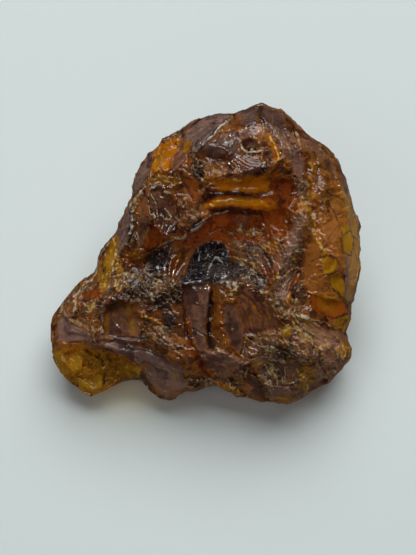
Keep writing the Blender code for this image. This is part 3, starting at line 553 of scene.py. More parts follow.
LOBE = Region("left lobe: golden edge, whitish scales above, clear golden glass below", (50, 230), (
    Facet("dark window", (56,82, 62,74, 72,72, 81,76, 89,88, 93,97, 86,107, 70,108, 56,106, 54,94),
        (-0.05, 0.12), 0.35),
    Facet("lobe cheek", (8,92, 14,86, 22,94, 36,102, 44,113, 34,111, 18,112, 7,110), (0.1, 0.15), 0.2, HAZE,
        0.7),
    Facet("red scale", (32,66, 38,61, 49,57, 50,66, 46,69, 34,71), (0.1, 0.1), 0.1),
    Facet("clear left", (14,124, 26,118, 34,124, 32,138, 24,144, 16,136), (0.2, 0.5), 0.2, None, 0.0, 1.5),
    Facet("clear low", (27,147, 40,145, 53,141, 52,158, 44,162, 34,156), (0.0, 0.9), 0.3, None, 0.0, 1.2),
    Facet("clear right", (66,134, 74,129, 81,133, 80,143, 72,148, 67,144), (-0.2, 0.45), 0.2, None, 0.0,
        1.5),
    Facet("band", (42,112, 54,109, 74,111, 92,116, 110,125, 128,134, 134,141, 118,139, 100,133, 82,125,
        64,118), (-0.05, 0.25), 0.3, HAZE, 0.5),
    Facet("nodule", (94,140, 104,134, 118,138, 132,144, 140,154, 132,160, 114,160, 100,154), (0.1, 0.1),
        -0.35, HAZE, 0.65),
    Facet("cap", (12,76, 18,69, 24,68, 24,80, 18,88, 12,86), (0.1, 0.1), 0.1, HAZE, 0.2),
    Patch("band mauve", (46,108, 70,110, 100,120, 130,136, 146,154, 120,146, 90,132, 62,120), HAZE, 0.75),
    Patch("clear glass brown side", (50,126, 72,126, 88,136, 86,148, 72,154, 56,158, 50,142), SHADE, 0.4,
        3.0),
    Patch("clear glass lemon", (30,142, 42,138, 53,142, 52,154, 44,166, 34,158), GLOW, 1.0, 2.0),
    Patch("clear glass shard", (68,138, 78,132, 82,142, 72,148), HONEY, 0.8, 2.0),
    Patch("clear glass left edge", (2,122, 10,121, 14,136, 26,154, 20,154, 8,140), HONEY, 0.8, 2.0),
    Patch("golden edge", (49,56, 48,45, 53,32, 58,20, 63,10, 69,6, 68,18, 65,28, 62,36, 61,48, 58,58,
        53,64), HONEY, 1.0, 2.5),
    Patch("golden edge core", (54,32, 60,18, 65,16, 63,34, 58,42), GLOW, 0.8, 3.0),
    Patch("golden edge right", (67,24, 72,30, 75,42, 72,56, 71,63, 65,63, 67,48, 65,36), HONEY, 0.75, 3.0),
    Patch("red scale ember", (31,67, 38,60, 49,56, 51,66, 46,70, 34,72), EMBER, 0.9, 2.0),
    Patch("red window", (30,73, 45,70, 48,78, 42,88, 34,89, 29,81), EMBER, 1.0, 2.0),
    Patch("red window hot", (38,75, 45,72, 45,79, 38,84), HONEY, 0.7, 2.0),
    Patch("dark window dark", (54,76, 62,67, 76,68, 76,76, 62,81), SHADE, 0.5, 3.0),
    Patch("dark window haze", (58,82, 78,78, 90,92, 88,107, 56,107), HAZE, 0.35, 3.0),
    Patch("stripe left", (54,86, 60,82, 61,96, 59,110, 54,110), HONEY, 0.5, 2.5),
    Patch("stripe right", (75,74, 80,76, 85,90, 86,104, 80,106, 78,90), HONEY, 0.5, 2.5),
    Patch("red wedge", (90,102, 95,92, 102,96, 109,102, 100,108, 91,108), EMBER, 0.8, 2.0),
    Patch("red wedge dark", (90,102, 95,92, 102,96, 109,102, 100,108, 91,108), SHADE, 0.5, 2.0),
    Patch("dark window light", (56,78, 78,72, 92,92, 88,108, 56,108), GLOW, 0.15),
    Patch("clear glass", (2,124, 10,120, 24,117, 40,120, 56,123, 70,126, 82,131, 90,139, 90,146, 72,150,
        60,156, 48,168, 38,168, 24,158, 10,142), HONEY, 0.5, 5.0),
    Patch("clear glass gold", (2,120, 22,114, 70,124, 90,138, 72,150, 48,168, 10,142), GOLD, 0.8, 6.0),
    Patch("clear glass light", (2,120, 22,112, 70,124, 90,138, 72,150, 48,168, 10,142), GLOW, 0.6, 3.0),
    Patch("clear glass milk", (16,124, 30,122, 34,134, 28,144, 18,138), HONEY, 0.75, 3.0),
    Patch("clear glass brown", (34,120, 54,123, 54,138, 42,140, 34,134), SHADE, 0.4, 3.0),
    Patch("clear glass seam", (54,124, 62,125, 65,136, 63,150, 57,157, 54,144), EMBER, 0.9, 2.0),
    Patch("clear glass seam dim", (54,124, 62,125, 65,136, 63,150, 57,157, 54,144), SHADE, 0.45, 3.0),
    Patch("clear glass crumbs", (2,116, 60,122, 90,138, 50,168, 20,154), RUBBLE, 0.7),
    Patch("cheek light", (6,96, 22,70, 44,68, 50,100, 42,114, 8,114), GLOW, 0.4, 5.0),
    Patch("clear glass yellow", (26,146, 38,148, 53,141, 52,160, 43,166, 30,158), HONEY, 1.0, 2.0),
    Patch("clear glass bright", (27,147, 34,150, 42,161, 40,166, 30,158), GLOW, 1.0, 2.0),
    Patch("clear glass olive", (38,148, 48,145, 49,154, 43,157), SHADE, 0.3, 3.0),
    Patch("clear glass end", (77,136, 83,132, 90,139, 89,147, 78,149), HONEY, 1.0, 2.0),
    Patch("clear glass end light", (77,136, 83,132, 90,139, 89,147, 78,149), GLOW, 1.0, 2.0),
    Patch("clear glass rim light", (2,122, 8,120, 13,134, 22,146, 16,148, 6,136), GLOW, 0.7, 3.0),
    Patch("clear glass dark top", (34,116, 60,118, 64,126, 49,130, 36,126), SHADE, 0.35),
    Patch("lobe rubble", (12,78, 24,66, 42,50, 54,54, 52,90, 44,110, 30,98, 16,94), RUBBLE, 0.8),
    Patch("golden edge rubble", (50,55, 54,30, 64,10, 70,10, 74,40, 70,64, 56,66), RUBBLE, 0.8),
    Patch("golden edge dark", (53,36, 57,38, 56,44, 52,42), SHADE, 0.8, 2.0),
    Patch("orange oval", (134,144, 138,143, 139,150, 135,151), HONEY, 0.85, 1.5),
    Patch("orange oval left", (120,141, 128,140, 130,148, 122,150), HONEY, 0.45, 3.0),
    Patch("nodule light", (94,140, 118,138, 140,150, 132,166, 108,166), GLOW, 0.5),
    Patch("nodule dark", (90,142, 96,146, 102,160, 112,168, 100,166, 92,156), SOOT, 0.6, 3.0),
    Patch("nodule foot", (108,158, 126,162, 136,164, 126,170, 112,169), HAZE, 0.6, 3.0),
    Patch("shards", (84,88, 96,82, 116,96, 128,104, 126,120, 100,114, 90,106), RUBBLE, 0.8),
    Patch("black shards", (112,82, 122,84, 126,94, 120,102, 114,96), SOOT, 0.8, 2.5),
    Ledge("band crest", (10,101, 24,103, 38,108, 48,115, 64,120, 80,128, 92,136), 8.0, 0.8),
    Ledge("window brim", (54,90, 56,80, 62,73, 74,71, 84,76, 91,88, 94,98), 5.0, 0.5),
    Line("lemon edge", (30,142, 38,150, 44,162), 0.9, 0.2, PALE, 0.49),
    Line("lemon edge right", (53,142, 50,152, 45,163), 0.8, 0.2, PALE, 0.49, 0.1),
    Line("lemon edge top", (10,128, 22,135, 32,142, 44,139, 54,141), 0.7, 0.15, PALE, 0.45, 0.2),
    Line("edge crust top", (68,6, 62,10, 56,16, 52,22, 49,30), 1.5, 0.35, PALE, 0.7, 0.4),
    Line("edge crust", (49,30, 47,38, 45,45, 42,50, 36,54), 1.5, 0.35, PALE, 0.9, 0.25),
    Line("edge crust low", (38,50, 32,57, 27,62, 22,68), 1.7, 0.35, PALE, 0.85, 0.4),
    Line("edge crust foot", (22,68, 15,74, 10,81, 6,88, 3,96), 1.5, 0.3, PALE, 0.6, 0.5),
    Line("golden edge crest", (66,20, 64,28, 62,36, 63,45), 1.9, 0.6, PALE, 0.95, 0.3),
    Line("golden edge crest low", (63,45, 66,50, 65,56, 68,61), 2.0, 0.55, PALE, 0.85, 0.35),
    Line("grey rib", (64,54, 59,60, 55,70, 53,82, 52,94), 1.7, 0.55, HAZE, 0.95, 0.3),
    Line("grey rib white", (53,88, 52,94, 51,100), 1.3, 0.3, PALE, 0.85, 0.4),
    Line("yellow crust", (42,92, 44,100, 44,107, 46,114), 1.7, 0.4, PALE, 0.65, 0.25),
    Line("scale white", (23,70, 26,73, 25,79, 23,84), 1.8, 0.35, PALE, 0.95, 0.2),
    Line("scale arc outer", (14,81, 16,88, 21,95, 28,99, 36,103, 42,110), 1.5, 0.4, HAZE, 1.0, 0.15),
    Line("scale arc inner", (19,82, 20,88, 25,93, 32,97), 1.0, 0.3, PALE, 0.6, 0.3),
    Line("scale arc left", (9,97, 11,88, 15,78, 21,71), 0.9, 0.25, PALE, 0.6, 0.4),
    Line("scale arc top", (30,74, 36,73, 42,70, 48,68), 1.0, 0.3, PALE, 0.8, 0.3),
    Line("net one", (35,74, 38,79, 41,81), 0.9, 0.3, PALE, 0.95, 0.2),
    Line("net two", (45,73, 42,78, 39,83, 36,82), 1.0, 0.3, PALE, 1.0, 0.15),
    Line("net three", (30,80, 34,82, 38,87), 0.8, 0.25, PALE, 0.7, 0.3),
    Line("red scale top", (33,61, 38,61, 44,59), 0.8, 0.25, PALE, 0.5, 0.4),
    Line("dark under the scale", (30,70, 38,71, 45,69), 0.9, -0.35, SOOT, 0.9),
    Line("gold crust a", (30,62, 34,56, 40,52, 43,47), 2.2, 0.3, PALE, 0.5, 0.55),
    Line("gold thread a", (50,53, 52,45, 54,41, 57,48), 0.9, 0.25, HONEY),
    Line("gold thread b", (54,58, 56,50, 58,42), 0.9, 0.2, PALE, 0.45, 0.3),
    Line("band highlight", (26,106, 40,111, 48,116, 60,118, 74,124, 88,132, 94,137), 0.9, 0.2, HAZE, 1.0,
        0.2),
    Line("glass line a", (4,127, 9,122, 16,119, 22,118), 1.0, 0.3, PALE, 0.49, 0.2),
    Line("glass line b", (22,118, 20,124, 15,130, 11,136), 1.0, 0.3, PALE, 0.49, 0.2),
    Line("glass line c", (12,136, 18,142, 27,147, 34,152, 42,158, 45,160), 1.2, 0.35, PALE, 0.49, 0.1),
    Line("glass line d", (53,140, 51,147, 48,154, 45,160), 1.2, 0.35, PALE, 0.49, 0.1),
    Line("glass line e", (27,147, 32,143, 38,140, 45,132), 1.0, 0.3, PALE, 0.45, 0.3),
    Line("glass line f", (34,152, 40,146, 47,142), 0.9, 0.25, PALE, 0.4, 0.3),
    Line("glass line g", (62,149, 68,143, 76,138, 79,132), 1.0, 0.35, PALE, 0.49, 0.2),
    Line("glass line h", (58,156, 64,151, 72,148, 82,147), 1.0, 0.25, PALE, 0.45, 0.3),
    Line("glass line i", (69,142, 72,134, 70,128), 0.9, 0.25, PALE, 0.4, 0.3),
    Line("glass crack a", (24,118, 30,126, 34,136, 32,144), 0.9, -0.4, EMBER, 0.9),
    Line("glass crack b", (48,122, 52,130, 54,142, 54,158), 1.2, -0.45, SHADE, 0.8),
    Line("glass crack c", (62,126, 66,136, 64,148), 0.9, -0.35, SHADE, 0.6),
    Line("glass crack d", (56,128, 62,128, 74,127), 0.9, -0.35, EMBER, 0.9),
    Line("lobe rim crust", (3,122, 10,139, 20,150, 30,160, 40,166), 1.0, 0.1, PALE, 0.45, 0.4),
    Line("shard line a", (90,87, 98,87, 106,91, 112,96), 1.2, 0.4, HONEY, 0.8, 0.2),
    Line("shard line b", (93,81, 95,85, 97,88), 1.1, 0.3, PALE, 0.9, 0.2),
    Line("shard line c", (94,91, 100,94, 106,98, 110,103), 1.0, 0.3, PALE, 0.5, 0.4),
    Line("shard line d", (94,68, 93,76, 93,82), 0.7, 0.2, HAZE, 0.9, 0.2),
    Line("shard line e", (102,72, 110,74, 118,79, 126,87), 1.3, -0.5, SOOT, 0.7),
    Line("shard glints", (102,81, 106,80, 108,81), 1.0, 0.25, PALE, 0.9, 0.3),
    Line("yellow crumbs", (110,96, 113,101, 115,106, 112,110), 2.2, 0.4, PALE, 0.75, 0.4),
    Line("yellow crumbs low", (113,108, 118,111, 121,115), 1.8, 0.35, PALE, 0.75, 0.4),
    Line("band groove a", (62,110, 76,107, 90,110, 102,107), 1.1, -0.35, SOOT, 0.6),
    Line("band groove b", (72,118, 84,120, 96,120, 108,126), 1.1, -0.3, SOOT, 0.5),
    Line("band wisp", (70,112, 82,111, 96,108, 106,107), 0.8, 0.2, HAZE, 0.9, 0.3),
    Line("white curl a", (76,117, 79,115, 81,118, 83,115), 0.8, 0.25, PALE, 0.9, 0.1),
    Line("white curl b", (96,121, 99,123, 102,120), 1.0, 0.25, PALE, 0.75, 0.2),
    Line("nodule streak a", (93,136, 98,141, 104,147), 1.1, 0.25, PALE, 0.7, 0.4),
    Line("nodule streak b", (102,144, 108,149, 114,153, 119,156), 1.3, 0.25, PALE, 0.75, 0.35),
    Line("nodule streak c", (98,150, 106,157, 116,162), 0.9, 0.2, HAZE, 0.9, 0.3),
    Line("nodule streak d", (116,141, 122,147, 128,151), 0.8, 0.15, HAZE, 0.7, 0.3),
    Line("nodule rim", (90,144, 95,154, 102,162, 112,168), 1.0, 0.2, PALE, 0.4, 0.5),
    Sheaf("lobe back", (42,38, 30,50, 20,62, 11,76, 5,90), (44,60, 36,70, 30,82, 26,92, 22,104), 6,
        tints=(PALE, HAZE, PALE), broken=0.45),
    Sheaf("band sweep", (46,104, 66,112, 86,124, 106,138), (60,96, 82,104, 102,116, 128,132), 7,
        tints=(HAZE, EMBER), width=0.9, rise=0.06, share=0.7, broken=0.25),
))

COLUMNS = Region("the upright smooth bands in the middle of the foot", (180, 270), (
    Facet("first column", (2,15, 12,13, 26,13, 31,17, 29,32, 26,50, 26,68, 28,82, 20,82, 13,71, 9,52, 4,33),
        (0.12, 0.1), 0.35, HAZE, 0.5, 2),
    Facet("second column", (45,33, 54,34, 60,48, 64,64, 63,78, 60,86, 52,80, 46,68, 43,50), (0.15, 0.1),
        0.25, HAZE, 0.45, 3),
    Facet("orange column", (34,20, 41,20, 41,42, 40,64, 35,70, 32,60, 33,40), (0.1, 0.0), -0.2, None, 0.0,
        1.5),
    Facet("red shell", (60,11, 72,14, 83,26, 91,36, 97,48, 100,56, 88,62, 74,65, 64,64, 59,48, 57,28),
        (-0.1, -0.1), 0.35, HAZE, 0.35),
    Facet("foot facet", (26,82, 40,80, 52,86, 60,96, 58,108, 44,108, 30,100), (0, -0.1), 0.2, HAZE, 0.2),
    Facet("foot cheek", (66,108, 76,110, 82,122, 78,129, 68,124), (0, 0.1), -0.2, HAZE, 0.4),
    Patch("first column brown", (3,15, 30,14, 30,30, 6,34), EMBER, 0.35),
    Patch("first column dim", (4,15, 28,15, 26,80, 12,68), SHADE, 0.25),
    Patch("first column light", (14,36, 22,36, 22,66, 16,68), GLOW, 0.35),
    Patch("orange column tint", (33,17, 42,17, 42,42, 41,68, 33,68, 32,40), GOLD, 0.35, 2.5),
    Patch("groove", (29,23, 33,17, 33,30, 31,46, 31,60, 34,76, 31,82, 27,70, 26,48), SHADE, 0.8, 3.0),
    Patch("red shell tint", (60,11, 74,15, 92,35, 101,56, 82,66, 62,66, 56,30), EMBER, 0.35),
    Patch("second column dark", (45,40, 58,52, 62,76, 56,82, 46,68), SHADE, 0.4),
    Patch("ochre crumbs", (46,12, 58,10, 60,26, 52,28, 45,22), PALE, 0.42, 3.0),
    Patch("ochre gold", (42,13, 56,20, 58,34, 46,34), GOLD, 0.35, 3.0),
    Patch("red seam", (3,34, 9,36, 12,62, 19,78, 26,92, 36,107, 32,114, 20,104, 10,82, 4,64), EMBER, 0.85,
        2.5),
    Patch("red seam dark", (3,34, 8,36, 10,62, 17,78, 24,92, 32,104, 28,108, 16,90, 6,68), SHADE, 0.35,
        2.5),
    Patch("foot haze", (18,82, 48,80, 64,92, 62,108, 36,108, 24,96), HAZE, 0.45),
    Patch("foot rubble", (34,72, 48,76, 60,90, 66,110, 32,110, 24,92), RUBBLE, 0.6),
    Patch("ember spark", (48,96, 54,98, 56,104, 49,102), GOLD, 0.5, 2.0),
    Patch("golden toes", (33,112, 42,110, 54,116, 62,124, 56,126, 42,120), GOLD, 0.95, 2.0),
    Patch("toe crumbs", (8,108, 30,107, 36,116, 20,122, 6,118), PALE, 0.32, 3.0),
    Patch("toe rubble", (6,106, 64,108, 64,128, 6,124), RUBBLE, 0.9),
    Ledge("column brow", (60,11, 46,9, 32,11, 18,13, 2,15), 6.0, -0.5),
    Ledge("first column side", (3,16, 5,34, 10,54, 14,72, 23,84), 4.0, -0.5),
    Ledge("second column side", (42,33, 43,50, 46,68, 54,81, 62,90), 4.0, -0.4),
    Ripples("shell rings", (60,14, 74,16, 98,46, 98,58, 64,64), (42, 60), 6.0, 0.1),
    Ripples("column rings", (10,30, 26,30, 26,75, 14,70), (-30, 48), 6.0, 0.05),
    Line("groove line", (32,18, 31,32, 29,48, 29,64, 32,80), 1.2, -0.6, SHADE, 0.9),
    Line("groove left lip", (29,20, 27,36, 25,52, 26,68), 0.7, 0.15, HAZE, 0.5, 0.2),
    Line("red hairline", (42,32, 43,48, 44,64, 48,74, 55,83, 63,92), 1.0, -0.45, EMBER),
    Line("column arc", (44,65, 49,75, 56,82, 63,89), 0.8, 0.25, GOLD, 0.8),
    Line("column crack", (11,58, 16,61, 20,64, 26,66), 0.7, -0.3, SOOT),
    Line("column specks", (16,32, 19,33), 0.9, 0.15, PALE, 0.8),
    Line("column specks b", (11,24, 13,24), 0.9, 0.15, PALE, 0.6),
    Line("column speck right", (51,59, 54,59), 1.2, 0.2, PALE, 0.9),
    Line("brow crust", (4,14, 10,13, 16,14, 23,12), 1.1, 0.25, PALE, 0.7, 0.45),
    Line("brow crust right", (34,10, 42,12, 50,11, 58,14), 1.5, 0.3, PALE, 0.75, 0.45),
    Line("ochre crumb a", (48,19, 52,21, 56,20, 59,22), 1.5, 0.3, PALE, 0.8, 0.35),
    Line("ochre crumb b", (46,26, 50,24, 53,27), 1.2, 0.25, PALE, 0.7, 0.4),
    Line("seam edge", (6,42, 7,54, 10,66, 15,76, 22,88), 1.0, 0.35, GOLD, 0.8, 0.4),
    Line("seam crumbs", (24,94, 29,102, 35,108), 1.5, 0.35, GOLD, 0.9, 0.3),
    Line("seam crumbs dark", (4,42, 4,56, 8,70), 1.0, -0.4, SOOT, 0.8),
    Line("shell arc a", (69,31, 74,37, 78,44, 81,49), 0.8, 0.25, GOLD, 1.0, 0.1),
    Line("shell arc b", (63,36, 67,44, 70,51, 72,57), 0.7, 0.2, GOLD, 0.8, 0.2),
    Line("shell arc c", (77,32, 82,38, 88,44, 92,51), 0.7, 0.2, GOLD, 0.7, 0.3),
    Line("shell edge", (72,13, 82,24, 91,33, 97,44), 1.1, 0.4, PALE, 0.55, 0.55),
    Line("shell foot", (64,66, 74,67, 82,68, 92,64, 100,60), 1.1, 0.3, PALE, 0.65, 0.45),
    Line("foot wisp a", (32,74, 38,80, 46,86, 54,92), 0.7, 0.2, HAZE, 0.9, 0.2),
    Line("foot wisp b", (24,81, 32,84, 42,91, 50,99), 0.7, 0.2, HAZE, 0.8, 0.2),
    Line("foot fleck", (35,77, 38,79, 39,82), 1.5, 0.3, PALE, 0.95, 0.2),
    Line("foot wisp c", (50,84, 56,92, 60,102, 62,112), 0.8, 0.25, PALE, 0.5, 0.3),
    Line("divide", (66,71, 64,81, 62,92, 62,104, 64,118, 66,127), 1.0, 0.4, PALE, 0.6, 0.3),
    Line("divide white", (67,96, 66,102, 65,108), 1.1, 0.3, PALE, 0.8, 0.35),
    Line("toe crust", (8,116, 16,118, 24,115, 32,114), 1.5, 0.3, PALE, 0.75, 0.35),
    Line("toe crust b", (10,110, 20,111, 29,109), 1.1, 0.25, PALE, 0.6, 0.4),
    Line("toe glint", (65,126, 68,126), 1.2, 0.2, PALE, 0.9),
    Line("toe crack", (34,108, 28,110, 20,107), 1.1, -0.4, SOOT, 0.9),
    Line("toe crack b", (42,112, 50,114, 58,118), 1.0, -0.35, SOOT, 0.7),
))

RIDGE = Region("the pale speckled ridge and the crumbled middle beside it", (220, 150), (
    Facet("mauve flank", (38,106, 52,102, 64,106, 62,120, 48,126, 38,118), (0.1, 0.05), 0.1, HAZE, 0.35),
    Facet("brown flank", (64,86, 76,82, 78,94, 70,106, 62,100), (0.15, 0.1), 0.1, HAZE, 0.3),
    Facet("streaked slope", (62,136, 76,118, 82,122, 78,138, 68,152, 60,146), (0.15, 0.1), 0.1),
    Patch("pink crumbs", (6,88, 26,90, 42,100, 38,114, 24,112, 8,102), PALE, 0.32),
    Patch("pink ember", (8,94, 20,96, 18,108, 8,108), EMBER, 0.9, 3.0),
    Patch("crumb haze", (24,90, 46,96, 42,112, 26,108), HAZE, 0.6),
    Patch("red pocket", (42,116, 56,116, 56,134, 46,136), EMBER, 0.9, 3.0),
    Patch("gold pocket", (52,124, 58,118, 60,124, 54,134), GOLD, 0.7, 2.0),
    Patch("orange slope", (64,130, 78,118, 84,122, 70,142), EMBER, 0.7, 3.0),
    Patch("ridge speckle", (76,26, 84,30, 86,70, 80,96, 66,112, 64,150, 80,166, 62,168, 50,146, 52,112,
        66,86, 78,64), PALE, 0.26),
    Patch("ridge light", (76,26, 86,40, 86,90, 70,112, 70,150, 56,150, 54,116, 72,76), GLOW, 0.75, 5.0),
    Patch("ridge haze", (78,30, 86,34, 84,80, 72,112, 68,150, 56,150, 54,120, 72,76), HAZE, 0.6, 5.0),
    Patch("ridge rubble", (72,26, 90,30, 94,80, 86,120, 84,168, 42,156, 12,132, 6,90, 42,96, 70,64), RUBBLE,
        1.0, 5.0),
    Patch("tan boss", (73,94, 79,93, 81,100, 76,104, 72,100), PALE, 0.7, 2.0),
    Patch("gold crumbs", (72,50, 86,50, 84,62, 72,64), GOLD, 0.6, 3.0),
    Patch("dark middle", (8,112, 30,112, 42,130, 36,144, 16,130), SHADE, 0.45),
    Line("ridge top", (79,0, 81,14, 82,30, 83,46, 81,60), 1.8, 0.5, PALE, 0.45, 0.6),
    Line("ridge middle", (81,58, 80,72, 74,86, 67,98, 62,112), 2.0, 0.55, PALE, 0.5, 0.6),
    Line("ridge low", (62,112, 59,126, 60,140, 64,152, 72,162), 2.0, 0.5, PALE, 0.55, 0.55),
    Line("ridge foot", (72,162, 80,168, 92,170, 104,173, 118,180), 1.7, 0.5, PALE, 0.6, 0.5),
    Line("ridge fleck", (81,165, 85,167, 89,168), 1.9, 0.4, PALE, 1.0, 0.1),
    Line("bright fleck", (32,112, 34,116, 34,122), 1.4, 0.4, PALE, 0.85, 0.15),
    Line("bright fleck left", (20,112, 26,111, 31,112), 1.1, 0.3, PALE, 0.6, 0.4),
    Line("mid crust a", (6,98, 12,96, 18,100), 1.3, 0.3, PALE, 0.6, 0.5),
    Line("mid crust b", (16,106, 24,102, 32,106, 40,102), 1.2, 0.3, PALE, 0.6, 0.5),
    Line("mid crust c", (38,114, 44,112, 52,115), 1.0, 0.3, PALE, 0.7, 0.5),
    Line("mid crack a", (10,112, 22,118, 32,130, 42,140), 1.1, -0.45, SOOT, 0.8),
    Line("mid crack b", (38,96, 48,108, 54,122, 56,136), 1.0, -0.45, SOOT, 0.7),
    Line("mid crack c", (24,90, 30,100, 26,112), 0.9, -0.4, SOOT, 0.7),
    Line("gold chip", (50,134, 54,128, 59,122), 1.4, 0.35, GOLD, 1.0, 0.1),
    Line("orange needle a", (70,141, 69,147, 68,154), 0.9, 0.3, GOLD, 0.9),
    Line("orange needle b", (80,124, 76,132, 71,140), 1.2, 0.3, EMBER),
    Line("slope streak a", (62,138, 70,128, 80,118), 0.8, 0.2, HAZE, 0.9, 0.2),
    Line("slope streak b", (60,132, 68,124, 76,114), 0.8, 0.2, HAZE, 0.8, 0.2),
    Line("slope streak c", (66,150, 74,140, 82,128), 0.8, 0.2, HAZE, 0.7, 0.2),
    Line("yellow crust a", (43,140, 48,142, 52,148), 1.8, 0.4, PALE, 0.7, 0.4),
    Line("yellow crust b", (54,150, 58,158, 60,166), 1.5, 0.35, PALE, 0.6, 0.5),
    Line("speck row", (60,76, 65,72, 70,64), 1.3, 0.25, PALE, 0.5, 0.6),
    Line("speck row low", (63,114, 70,112, 78,108), 1.2, 0.25, PALE, 0.6, 0.5),
    Sheaf("ridge fibres", (84,108, 77,122, 70,136, 63,150), (68,104, 62,118, 56,132, 52,146), 8,
        tints=(PALE, HAZE), broken=0.35),
    Sheaf("ridge foot fibres", (58,148, 66,158, 74,165, 86,169), (50,156, 58,166, 68,173, 80,178), 7,
        broken=0.35),
    Sheaf("middle fibres", (20,96, 30,100, 40,104, 48,112), (10,106, 20,112, 30,118, 38,126), 5,
        tints=(PALE, HONEY), width=0.8, broken=0.4),
))

